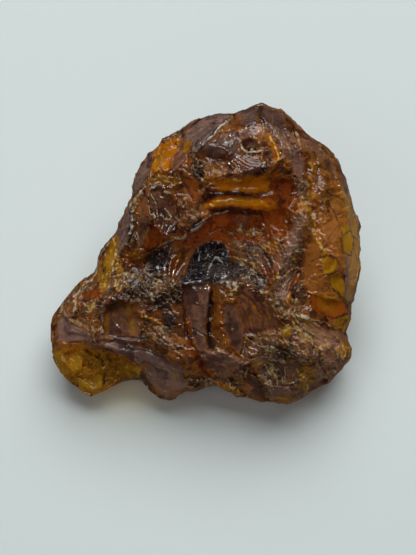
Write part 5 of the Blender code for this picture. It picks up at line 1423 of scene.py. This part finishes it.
def gap_to_path(places: np.ndarray, corners: np.ndarray) -> tuple[np.ndarray, np.ndarray, np.ndarray]:
    """How far each place is from a path.

    Args:
        places: One (x, y) per row.
        corners: The path's corners, one per row.

    Returns:
        The gap, the side (1 left of the path as one walks it in the frame, -1 right), and the share walked.
    """
    gap = np.full(len(places), np.inf)
    side = np.ones(len(places))
    walked = np.zeros(len(places))
    lengths = np.linalg.norm(np.diff(corners, axis=0), axis=1)
    total, done = lengths.sum(), 0.0
    for start, end, length in zip(corners[:-1], corners[1:], lengths):
        way = (end - start) / length
        away = places - start
        along = np.clip(away @ way, 0.0, length)
        off = np.linalg.norm(away - along[:, None] * way, axis=1)
        nearer = off < gap
        gap = np.where(nearer, off, gap)
        cross = way[0] * away[:, 1] - way[1] * away[:, 0]
        side = np.where(nearer, np.where(cross < 0, 1.0, -1.0), side)
        walked = np.where(nearer, (done + along) / total, walked)
        done += length
    return gap, side, walked


def is_inside(places: np.ndarray, corners: np.ndarray) -> np.ndarray:
    """Whether each place lies inside an outline.

    Args:
        places: One (x, y) per row.
        corners: The outline's corners, one per row.

    Returns:
        One truth value per place.
    """
    inside = np.zeros(len(places), dtype=bool)
    for (x0, y0), (x1, y1) in zip(corners, np.roll(corners, -1, axis=0)):
        if y0 == y1:
            continue
        spans = (y0 > places[:, 1]) != (y1 > places[:, 1])
        inside ^= spans & (places[:, 0] < (x1 - x0) * (places[:, 1] - y0) / (y1 - y0) + x0)
    return inside


@dataclass(frozen=True)
class Scatter:
    """Spots of a size with soft edges: where smooth noise is high, helped by a broader noise."""

    size: float
    shift: float
    low: float
    high: float
    broad_share: float = 0.0
    broad_size: float = 1.0
    broad_shift: float = 0.0

    def over(self, points: np.ndarray) -> np.ndarray:
        """How much of them lies at each point, from 0 to 1.

        Args:
            points: One point per row, in millimetres.

        Returns:
            One share per point.
        """
        level = noise_at(points, self.size, self.shift)
        if self.broad_share:
            level = level + self.broad_share * noise_at(points, self.broad_size, self.broad_shift)
        return smooth(level, self.low, self.high)


@dataclass(frozen=True)
class Pen:
    """How lines are drawn: how they swell, taper and break, and how much finer threads are."""

    swell: float = 0.9
    swell_size: float = 4.0
    swell_shift: float = 3.1
    taper: tuple[float, float] = (-0.02, 0.12)
    tip: float = 0.35
    least: float = 0.2
    reach: float = 1.5
    farthest: float = 1.6
    spare: float = 1.0
    break_size: float = 2.2
    break_shift: float = 8.3
    break_swing: float = 0.6
    break_edges: tuple[float, float] = (-0.1, 0.06)
    low_in_breaks: float = 0.35
    tint_edges: tuple[float, float] = (0.3, 0.8)
    thread_width: float = 0.62
    thread_rise: float = 0.45
    thread_breaks: float = 0.14


@dataclass
class Skin:
    """The lump's points while they are carved: their places in the frame, their rise and their tints."""

    view: View
    points: np.ndarray
    normals: np.ndarray
    pen: Pen = Pen()
    wander: float = 1.1
    wander_size: float = 9.0
    jitter: float = 0.9
    jitter_size: float = 3.0
    wander_shifts: tuple[float, float] = (0.3, 20.7)
    jitter_shift: float = 40.0
    core: float = 0.3
    fewest: int = 8
    ledge_span: float = 2.0
    ledge_ends: tuple[float, float] = (0.0, 0.12)
    ledge_edge: float = 0.8
    most_rise: float = 0.75
    levelled: float = 0.8
    bleed: float = 1.8

    def __post_init__(self) -> None:
        """Place each point in the frame, and start with a flat relief and no tint."""
        self.places = self.view.pixels(self.points)
        sight = np.array(self.view.eye) - self.points
        self.sight = sight / np.linalg.norm(sight, axis=1)[:, None]
        self.facing = (self.normals * self.sight).sum(axis=1)
        self.depth = (self.points - np.array(self.view.aim)) @ np.array(self.view.toward) / MM
        self.rise = np.zeros(len(self.points))
        self.tints = {tint: np.zeros(len(self.points)) for tint in Tint}
        self.calm = np.zeros(len(self.points))
        self.body = self.points / MM
        shifts = [
            noise_at(self.places, self.wander_size, shift) * self.wander
            + noise_at(self.places, self.jitter_size, shift + self.jitter_shift) * self.jitter
            for shift in self.wander_shifts
        ]
        self.drawn = self.places + np.stack(shifts, axis=1)
        self.shown = self.facing > 0.0
        self.corner = np.zeros(2)

    def corners(self, path: Path) -> np.ndarray:
        """The corners of a region's path in the frame, one per row."""
        return np.array(path, dtype=float).reshape(-1, 2) + self.corner

    def near(self, corners: np.ndarray, margin: float) -> np.ndarray:
        """Which showing points lie near a path.

        Args:
            corners: The path's corners, one per row.
            margin: How far from the path's box they may lie.

        Returns:
            The points' indices.
        """
        low, high = corners.min(axis=0) - margin, corners.max(axis=0) + margin
        close = ((self.drawn > low) & (self.drawn < high)).all(axis=1)
        return np.nonzero(close & self.shown)[0]

    def tint(self, which: np.ndarray, tint: Tint, share: np.ndarray) -> None:
        """Tint points at least so much."""
        held = self.tints[tint]
        held[which] = np.maximum(held[which], share)

    def inside(self, outline: Path, soft: float) -> tuple[np.ndarray, np.ndarray]:
        """The points in an outline.

        Args:
            outline: The outline.
            soft: Over what width its rim fades.

        Returns:
            The points' indices, and how far each belongs to it, from 0 to 1.
        """
        corners = self.corners(outline)
        which = self.near(corners, soft)
        gap, _, _ = gap_to_path(self.drawn[which], np.vstack([corners, corners[:1]]))
        signed = np.where(is_inside(self.drawn[which], corners), gap, -gap)
        return which, smooth(signed, -HALF * soft, HALF * soft)

    def flatten(self, facet: Facet) -> None:
        """Draw the skin inside a facet to one leaning face, and calm it.

        Args:
            facet: The smooth fracture.
        """
        which, share = self.inside(facet.outline, facet.soft)
        core = share > self.core
        if core.sum() < self.fewest:
            return
        flat = self.places[which] * STEP_MM
        middle = flat[core].mean(axis=0)
        away = flat - middle
        level = self.depth[which] + self.rise[which]
        fit = np.c_[away[core], np.ones(core.sum())]
        slope = np.linalg.lstsq(fit, level[core], rcond=None)[0]
        span = np.linalg.norm(away[core], axis=1).max()
        bowl = facet.sag * (np.linalg.norm(away, axis=1) ** 2 / span**2 - HALF)
        wanted = np.c_[away, np.ones(len(away))] @ slope + away @ np.array(facet.lean) + bowl
        self.rise[which] += (wanted - level) * share
        self.calm[which] = np.maximum(self.calm[which], share)
        if facet.tint is not None:
            which, share = self.inside(facet.outline, facet.soft * self.bleed)
            self.tint(which, facet.tint, share * facet.share)

    def spread(self, patch: Patch) -> None:
        """Tint the skin inside a patch."""
        which, share = self.inside(patch.outline, patch.soft * self.bleed)
        self.tint(which, patch.tint, share * patch.share)

    def step(self, ledge: Ledge) -> None:
        """Raise the skin on one side of a path.

        Args:
            ledge: The step.
        """
        corners = self.corners(ledge.path)
        which = self.near(corners, self.ledge_span * ledge.reach)
        gap, side, walked = gap_to_path(self.drawn[which], corners)
        ends = smooth(walked, *self.ledge_ends) * smooth(1.0 - walked, *self.ledge_ends)
        fall = np.exp(-((gap / ledge.reach) ** 2)) * ends
        self.rise[which] += ledge.rise * fall * smooth(side * gap, -self.ledge_edge, self.ledge_edge)

    def ripple(self, rings: Ripples) -> None:
        """Add rings around a place.

        Args:
            rings: The rings of a fracture.
        """
        which, share = self.inside(rings.outline, rings.soft)
        off = np.linalg.norm(self.drawn[which] - self.corners(rings.centre), axis=1)
        self.rise[which] += rings.rise * share * np.sin(off / rings.spacing * 2.0 * math.pi)

    def draw(self, line: Line) -> None:
        """Raise or cut a line, broken where it is meant to be, and tint it.

        Args:
            line: The ridge, thread or crack.
        """
        pen, corners = self.pen, self.corners(line.path)
        which = self.near(corners, line.width * pen.farthest + pen.spare)
        gap, _, walked = gap_to_path(self.drawn[which], corners)
        swell = noise_at(self.drawn[which], pen.swell_size, pen.swell_shift)
        width = line.width * (pen.thread_width if line.is_thread else 1.0) * (1.0 + pen.swell * swell)
        ends = smooth(np.minimum(walked, 1 - walked), *pen.taper)
        width = np.maximum(width * (pen.tip + (1.0 - pen.tip) * ends), pen.least)
        across = np.clip(1.0 - (gap / (pen.reach * width)) ** 2, 0.0, 1.0)
        broken = max(line.broken, pen.thread_breaks) if line.is_thread else line.broken
        whole = np.ones(len(which))
        if broken > 0.0:
            level = noise_at(self.drawn[which], pen.break_size, pen.break_shift) * pen.break_swing + HALF
            whole = smooth(level - broken, *pen.break_edges)
        rise = line.rise * (pen.thread_rise if line.is_thread else 1.0)
        self.rise[which] += rise * across**2 * (pen.low_in_breaks + (1.0 - pen.low_in_breaks) * whole)
        if line.tint is not None:
            self.tint(which, line.tint, smooth(across, *pen.tint_edges) * whole * line.share)

    def weave(self, sheaf: Sheaf) -> None:
        """Draw the threads of a sheaf."""
        for line in sheaf.lines():
            self.draw(line)

    def carve(self, region: Region) -> None:
        """Carve one region, from the broadest feature to the finest.

        Args:
            region: The part of the face.
        """
        log.debug("carving the %s", region.name)
        self.corner = np.array(region.corner, dtype=float)
        tools = {Facet: self.flatten, Patch: self.spread, Ledge: self.step, Ripples: self.ripple,
                 Line: self.draw, Sheaf: self.weave}
        for feature in region.features:
            tools[type(feature)](feature)

    def level_off(self) -> None:
        """Let what stands out far stand out less, so that no face ends in a spike."""
        self.rise -= np.maximum(self.rise - self.most_rise, 0.0) * self.levelled


# The lump


@dataclass(frozen=True)
class Chips:
    """Small broken faces: each cell of a scattering leans its own way."""

    size: float
    lean: float
    drop: float
    seed: float
    spread: float = 7.3

    def height(self, points: np.ndarray) -> np.ndarray:
        """How far the skin stands out.

        Args:
            points: One point per row, in millimetres.

        Returns:
            One height per point, in millimetres.
        """
        high = np.empty(len(points))
        for index, row in enumerate(points / self.size + self.seed):
            _, seeds = noise.voronoi(Vector(row))
            seed = seeds[0]
            tilt = noise.cell_vector(seed * self.spread)
            high[index] = (Vector(row) - seed).dot(tilt) * self.lean + (tilt.x - HALF) * self.drop
        return high * self.size


@dataclass(frozen=True)
class WeatheringAndPaintedLight:
    """What covers the skin besides the drawn features: chips, threads, flecks and stains, and painted light:
    a pale rim sheen and glow where the skin turns from the eye, and golden glints in the rubble.
    """

    coarse: Chips = Chips(2.3, 0.55, 0.14, 0.0)
    fine: Chips = Chips(0.95, 0.6, 0.12, 5.0)
    face_rough: tuple[float, float] = (0.28, 0.2)
    face_size: float = 6.0
    face_shift: float = 2.0
    back_rough: tuple[float, float] = (0.6, 0.4)
    back_size: float = 5.0
    back_shift: float = 9.0
    calmed: float = 0.93
    rubble_on_calm: float = 0.3
    side_share: float = 0.3
    bend: float = 0.35
    bend_size: float = 1.1
    bend_shifts: tuple[float, ...] = (51.0, 52.0, 53.0)
    veins: tuple[tuple[float, float], ...] = ((2.2, 4.0), (1.5, 44.0), (1.1, 64.0))
    vein_width: float = 0.13
    vein_edge: float = 0.07
    vein_field: Scatter = Scatter(1.9, 7.0, 0.0, 0.3)
    vein_rough: tuple[float, float] = (0.35, 0.9)
    vein_share: float = 0.8
    flecks: Scatter = Scatter(0.5, 1.0, 0.36, 0.55, 0.25, 2.5, 3.0)
    fleck_rough: tuple[float, float] = (0.3, 0.9)
    fleck_share: float = 0.6
    soaked: Scatter = Scatter(0.7, 12.0, -0.05, 0.25)
    soaked_edges: tuple[float, float] = (0.1, 0.45)
    soaked_below: float = 0.46
    soaked_gain: float = 2.0
    # Painted golden glints scattered over the rubble.
    sparks: Scatter = Scatter(0.8, 31.0, 0.3, 0.6, 0.4, 3.0, 33.0)
    spark_rough: tuple[float, float] = (0.25, 0.9)
    spark_share: float = 0.6
    # Painted rim light: a pale sheen and a glow where the skin turns from the eye.
    rim: Scatter = Scatter(2.0, 27.0, -0.5, 0.1)
    rim_turn: tuple[float, float, float, float] = (-0.4, 0.0, 0.05, 0.5)
    painted_rim_sheen: float = 0.7
    rim_glow: float = 0.9
    edge: Scatter = Scatter(1.2, 71.0, 0.05, 0.3, 0.5, 5.0, 73.0)
    edge_turn: tuple[float, float, float, float] = (-0.5, -0.1, 0.0, 0.35)
    edge_share: float = 0.66
    veil: Scatter = Scatter(6.5, 15.0, 0.0, 0.4)
    veil_share: float = 0.42
    embers: Scatter = Scatter(4.5, 19.0, 0.05, 0.4)
    ember_share: float = 0.35
    ember_back: float = 0.3

    def break_up(self, skin: Skin, front: np.ndarray) -> None:
        """Chip the skin, most where it is rubble and least on smooth fractures.

        Args:
            skin: The skin, which gets its roughness and its crumbled heights.
            front: How far each point belongs to the showing face.
        """
        rubble = skin.tints[RUBBLE]
        least, swing = self.face_rough
        rough = least + swing * noise_at(skin.body, self.face_size, self.face_shift)
        calm = self.calmed * skin.calm * (1.0 - self.rubble_on_calm * rubble)
        rough = np.maximum(rough, rubble) * (1.0 - calm)
        least, swing = self.back_rough
        back = least + swing * noise_at(skin.body, self.back_size, self.back_shift)
        skin.rough = np.clip(rough * front + back * (1.0 - front), 0.0, 1.0)
        held_back = self.side_share + (1.0 - self.side_share) * front
        skin.crumble = (self.coarse.height(skin.body) + self.fine.height(skin.body)) * skin.rough * held_back

    def scatter(self, skin: Skin, front: np.ndarray) -> None:
        """Lay threads, flecks and stains over what is drawn.

        Args:
            skin: The skin, which gets the tints.
            front: How far each point belongs to the showing face.
        """
        everywhere = np.arange(len(front))
        rough, pale = skin.rough, skin.tints[PALE]
        back = 1.0 - front
        soaked = smooth(pale, *self.soaked_edges) * self.soaked.over(skin.body) * self.soaked_gain
        skin.tints[PALE] = np.where(pale < self.soaked_below, pale * soaked, pale)
        threads = self._threads(skin.body) * smooth(rough, *self.vein_rough)
        flecks = self.flecks.over(skin.body) * smooth(rough, *self.fleck_rough) * (1.0 - skin.tints[SOOT])
        # Painted light: golden glints over the rubble, and a rim sheen and glow where the skin turns from the
        # eye.
        sparks = self.sparks.over(skin.body) * smooth(rough, *self.spark_rough)
        rim = self.rim.over(skin.body) * turning(skin.facing, *self.rim_turn)
        edge = self.edge.over(skin.body) * turning(skin.facing, *self.edge_turn)
        embers = self.embers.over(skin.body) * (self.ember_share + self.ember_back * back)
        for tint, share in (
            (PALE, threads * self.vein_share),
            (PALE, flecks * self.fleck_share),
            (PALE, edge * self.edge_share),
            (HONEY, sparks * self.spark_share),
            (HAZE, rim * self.painted_rim_sheen),
            (GLOW, rim * self.rim_glow),
            (GOLD, self.veil.over(skin.body) * back * self.veil_share),
            (EMBER, embers * (1.0 - skin.tints[GOLD])),
        ):
            skin.tint(everywhere, tint, share)

    def _threads(self, points: np.ndarray) -> np.ndarray:
        """How much of each point fine threads cover.

        Args:
            points: One point per row, in millimetres.

        Returns:
            One share per point, from 0 to 1.
        """
        bends = [noise_at(points, self.bend_size, shift) for shift in self.bend_shifts]
        bent = points + np.stack(bends, axis=1) * self.bend
        threads = np.zeros(len(bent))
        for size, shift in self.veins:
            vein = np.abs(noise_at(bent, size, shift)) * size
            field_here = replace(self.vein_field, shift=shift + self.vein_field.shift)
            thin = smooth(self.vein_width - vein, 0.0, self.vein_edge)
            threads = np.maximum(threads, thin * field_here.over(points))
        return threads


@contextmanager
def edit_mode() -> Iterator[None]:
    """Edit mode for the steps inside."""
    bpy.ops.object.mode_set(mode="EDIT")
    yield
    bpy.ops.object.mode_set(mode="OBJECT")


def select_only(piece: bpy.types.Object) -> None:
    """Make a piece the one selected and active object.

    Args:
        piece: The piece.
    """
    bpy.ops.object.select_all(action="DESELECT")
    piece.select_set(True)
    bpy.context.view_layer.objects.active = piece


@dataclass
class Lump:
    """The amber itself."""

    view: View
    crest_angle: float = 32.0
    crest_full: float = 0.999
    weld: float = 1e-6
    cuts: int = 2
    softening: int = 7
    softness: float = 0.5
    front_from: float = 0.29
    settle: tuple[float, float] = (0.06, 0.3)
    foot: float = 0.05
    ankle: float = 1.2
    weathering_and_painted_light: WeatheringAndPaintedLight = WeatheringAndPaintedLight()
    finish: AmberFinish = AmberFinish()
    crust: CrustAndGlintFinish = CrustAndGlintFinish()

    def build(self) -> bpy.types.Object:
        """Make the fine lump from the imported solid.

        Returns:
            The lump, carved and dressed.
        """
        body = self._fine_copy()
        mesh = body.data
        count = len(mesh.vertices)
        points, normals = np.empty(count * 3), np.empty(count * 3)
        mesh.vertices.foreach_get("co", points)
        mesh.vertex_normals.foreach_get("vector", normals)
        points, normals = points.reshape(-1, 3), normals.reshape(-1, 3)
        low, high = points.min(axis=0), points.max(axis=0)

        skin = Skin(self.view, points, normals)
        for region in REGIONS:
            skin.carve(region)
        skin.level_off()
        front = smooth(skin.facing, *self.settle)
        self.weathering_and_painted_light.break_up(skin, front)
        self.weathering_and_painted_light.scatter(skin, front)

        lifted = smooth(points[:, 2] / MM, self.foot, self.ankle)
        crumble = skin.crumble * lifted * MM
        moved = points + skin.sight * (skin.rise * front * lifted * MM)[:, None]
        outward = normals * (1.0 - front)[:, None] + skin.sight * front[:, None]
        moved += outward * crumble[:, None]
        mesh.vertices.foreach_set("co", np.clip(moved, low, high).ravel())
        mesh.update()
        for tint, held in skin.tints.items():
            layer = mesh.attributes.new(tint.value, "FLOAT", "POINT")
            layer.data.foreach_set("value", np.clip(held, 0.0, 1.0))
        mesh.attributes.new(ROUGH, "FLOAT", "POINT").data.foreach_set("value", skin.rough)
        self._lay_finishes(body, skin.tints[PALE])
        return body

    def _fine_copy(self) -> bpy.types.Object:
        """Copy the solid with more and smaller faces, most of them on the showing side.

        Returns:
            The copy.
        """
        body = bpy.data.objects.new("amber_lump", bpy.data.objects[SOLID].data.copy())
        bpy.context.scene.collection.objects.link(body)
        select_only(body)
        with edit_mode():
            bpy.ops.mesh.select_mode(type="EDGE")
            bpy.ops.mesh.select_all(action="SELECT")
            bpy.ops.mesh.remove_doubles(threshold=self.weld)
            bpy.ops.mesh.select_all(action="DESELECT")
            bpy.ops.mesh.edges_select_sharp(sharpness=math.radians(self.crest_angle))
        crest = np.zeros(len(body.data.vertices), dtype=bool)
        body.data.vertices.foreach_get("select", crest)
        held = body.data.attributes.new(CREST, "FLOAT", "POINT")
        held.data.foreach_set("value", crest.astype(float))

        with edit_mode():
            bpy.ops.mesh.select_all(action="SELECT")
            bpy.ops.mesh.subdivide(number_cuts=self.cuts)
        self._soften(body.data)
        self._select_front(body.data)
        with edit_mode():
            bpy.ops.mesh.subdivide(number_cuts=1)
            bpy.ops.mesh.select_all(action="SELECT")
            bpy.ops.mesh.quads_convert_to_tris()
        self._soften(body.data)
        return body

    def _soften(self, mesh: bpy.types.Mesh) -> None:
        """Round the faces between the crests.

        Args:
            mesh: The active object's mesh.
        """
        crest = np.empty(len(mesh.vertices))
        mesh.attributes[CREST].data.foreach_get("value", crest)
        height = np.array([vertex.co.z for vertex in mesh.vertices]) / MM
        free = (crest < self.crest_full) & (height > self.foot)
        with edit_mode():
            bpy.ops.mesh.select_mode(type="VERT")
            bpy.ops.mesh.select_all(action="DESELECT")
        mesh.vertices.foreach_set("select", free)
        with edit_mode():
            bpy.ops.mesh.vertices_smooth(factor=self.softness, repeat=self.softening)

    def _select_front(self, mesh: bpy.types.Mesh) -> None:
        """Select the faces that turn to the eye.

        Args:
            mesh: The active object's mesh.
        """
        eye = np.array(self.view.eye)
        facing = np.array([np.dot(face.normal, eye - np.array(face.center)) for face in mesh.polygons])
        with edit_mode():
            bpy.ops.mesh.select_mode(type="FACE")
            bpy.ops.mesh.select_all(action="DESELECT")
        mesh.polygons.foreach_set("select", facing / self.view.distance > self.front_from)

    def _lay_finishes(self, body: bpy.types.Object, pale: np.ndarray) -> None:
        """Give each face the resin, or the crust where that lies thick; painted glints drawn as pale lines
        take the crust too.

        Args:
            body: The lump.
            pale: How much crust each of its points has.
        """
        mesh = body.data
        mesh.materials.clear()
        mesh.materials.append(self.finish.material())
        mesh.materials.append(self.crust.material())
        corners = np.empty(len(mesh.polygons) * 3, dtype=np.int32)
        mesh.polygons.foreach_get("vertices", corners)
        thick = pale[corners.reshape(-1, 3)].mean(axis=1)
        mesh.polygons.foreach_set("material_index", (thick > self.crust.from_share).astype(np.int32))
        select_only(body)
        bpy.ops.object.shade_smooth()


# The studio


@dataclass(frozen=True)
class Softbox:
    """A square soft light that faces the lump, placed by its bearing around it and its height in degrees."""

    name: str
    bearing: float
    rise: float
    distance: float
    size: float
    power: float
    in_gloss: bool = True
    in_diffuse: bool = True
    colour: Colour = (1.0, 1.0, 1.0)
    aim: tuple[float, float, float] = (0.0, 0.0, 0.0)

    def build(self) -> None:
        """Add the light."""
        lamp = bpy.data.lights.new(self.name, "AREA")
        lamp.size = self.size
        lamp.energy = self.power
        lamp.color = self.colour
        bearing, rise = math.radians(self.bearing), math.radians(self.rise)
        out = Vector((math.cos(bearing) * math.cos(rise), math.sin(bearing) * math.cos(rise), math.sin(rise)))
        softbox = bpy.data.objects.new(self.name, lamp)
        softbox.location = Vector(self.aim) + out * self.distance
        softbox.rotation_euler = (-out).to_track_quat("-Z", "Y").to_euler()
        softbox.visible_glossy = self.in_gloss
        softbox.visible_diffuse = self.in_diffuse
        softbox.visible_camera = False
        bpy.context.scene.collection.objects.link(softbox)


@dataclass(frozen=True)
class Studio:
    """The table and the soft light."""

    table_size: float = 6.0
    sky: Colour = (0.86, 0.93, 1.0)
    sky_strength: float = 0.03
    lamps: tuple[Softbox, ...] = (
        Softbox("key", 77.0, 57.0, 1.3, 1.3, 17.6, in_gloss=False),
        Softbox("fill", 268.0, 50.0, 1.4, 1.4, 2.4, in_gloss=False),
        Softbox("side fill", 205.0, 38.0, 1.3, 1.0, 1.3, in_gloss=False),
        Softbox("sheen", 105.0, 62.0, 0.8, 0.6, 5.0, in_diffuse=False),
        Softbox("spark", 150.0, 50.0, 0.8, 0.05, 0.5, in_diffuse=False),
        Softbox("far spark", 60.0, 70.0, 0.8, 0.05, 0.5, in_diffuse=False),
        Softbox("glow through the lobe", 270.0, 80.0, 0.006, 0.008, 0.00006, in_gloss=False,
                colour=(1.0, 0.72, 0.12), aim=(-0.0165, -0.0235, 0.0)),
    )
    finish: TableFinish = TableFinish()

    def build(self) -> bpy.types.Object:
        """Add the table, the sky and the lamps.

        Returns:
            The table.
        """
        bpy.ops.object.select_all(action="DESELECT")
        bpy.ops.mesh.primitive_plane_add(size=self.table_size)
        table = bpy.context.object
        table.name = "table"
        table.data.materials.append(self.finish.material())
        table.visible_glossy = False

        world = bpy.data.worlds.new("soft_room")
        world.use_nodes = True
        ground = world.node_tree.nodes["Background"]
        ground.inputs["Color"].default_value = (*self.sky, 1.0)
        ground.inputs["Strength"].default_value = self.sky_strength
        bpy.context.scene.world = world

        for lamp in self.lamps:
            lamp.build()
        bpy.context.scene.view_settings.view_transform = "Standard"
        return table


def main() -> None:
    """Build the studio and the lump, and report each piece."""
    logging.basicConfig(level=logging.INFO, format="%(message)s")
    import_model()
    view = View()
    view.centre_on(np.array([vertex.co for vertex in bpy.data.objects[SOLID].data.vertices]))
    view.add_camera()
    table = Studio().build()
    lump = Lump(view).build()
    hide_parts("raw_amber")
    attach(lump, "root")
    for piece in (table, lump):
        log.info("%s: %d faces", piece.name, len(piece.data.polygons))


if __name__ == "__main__":
    main()
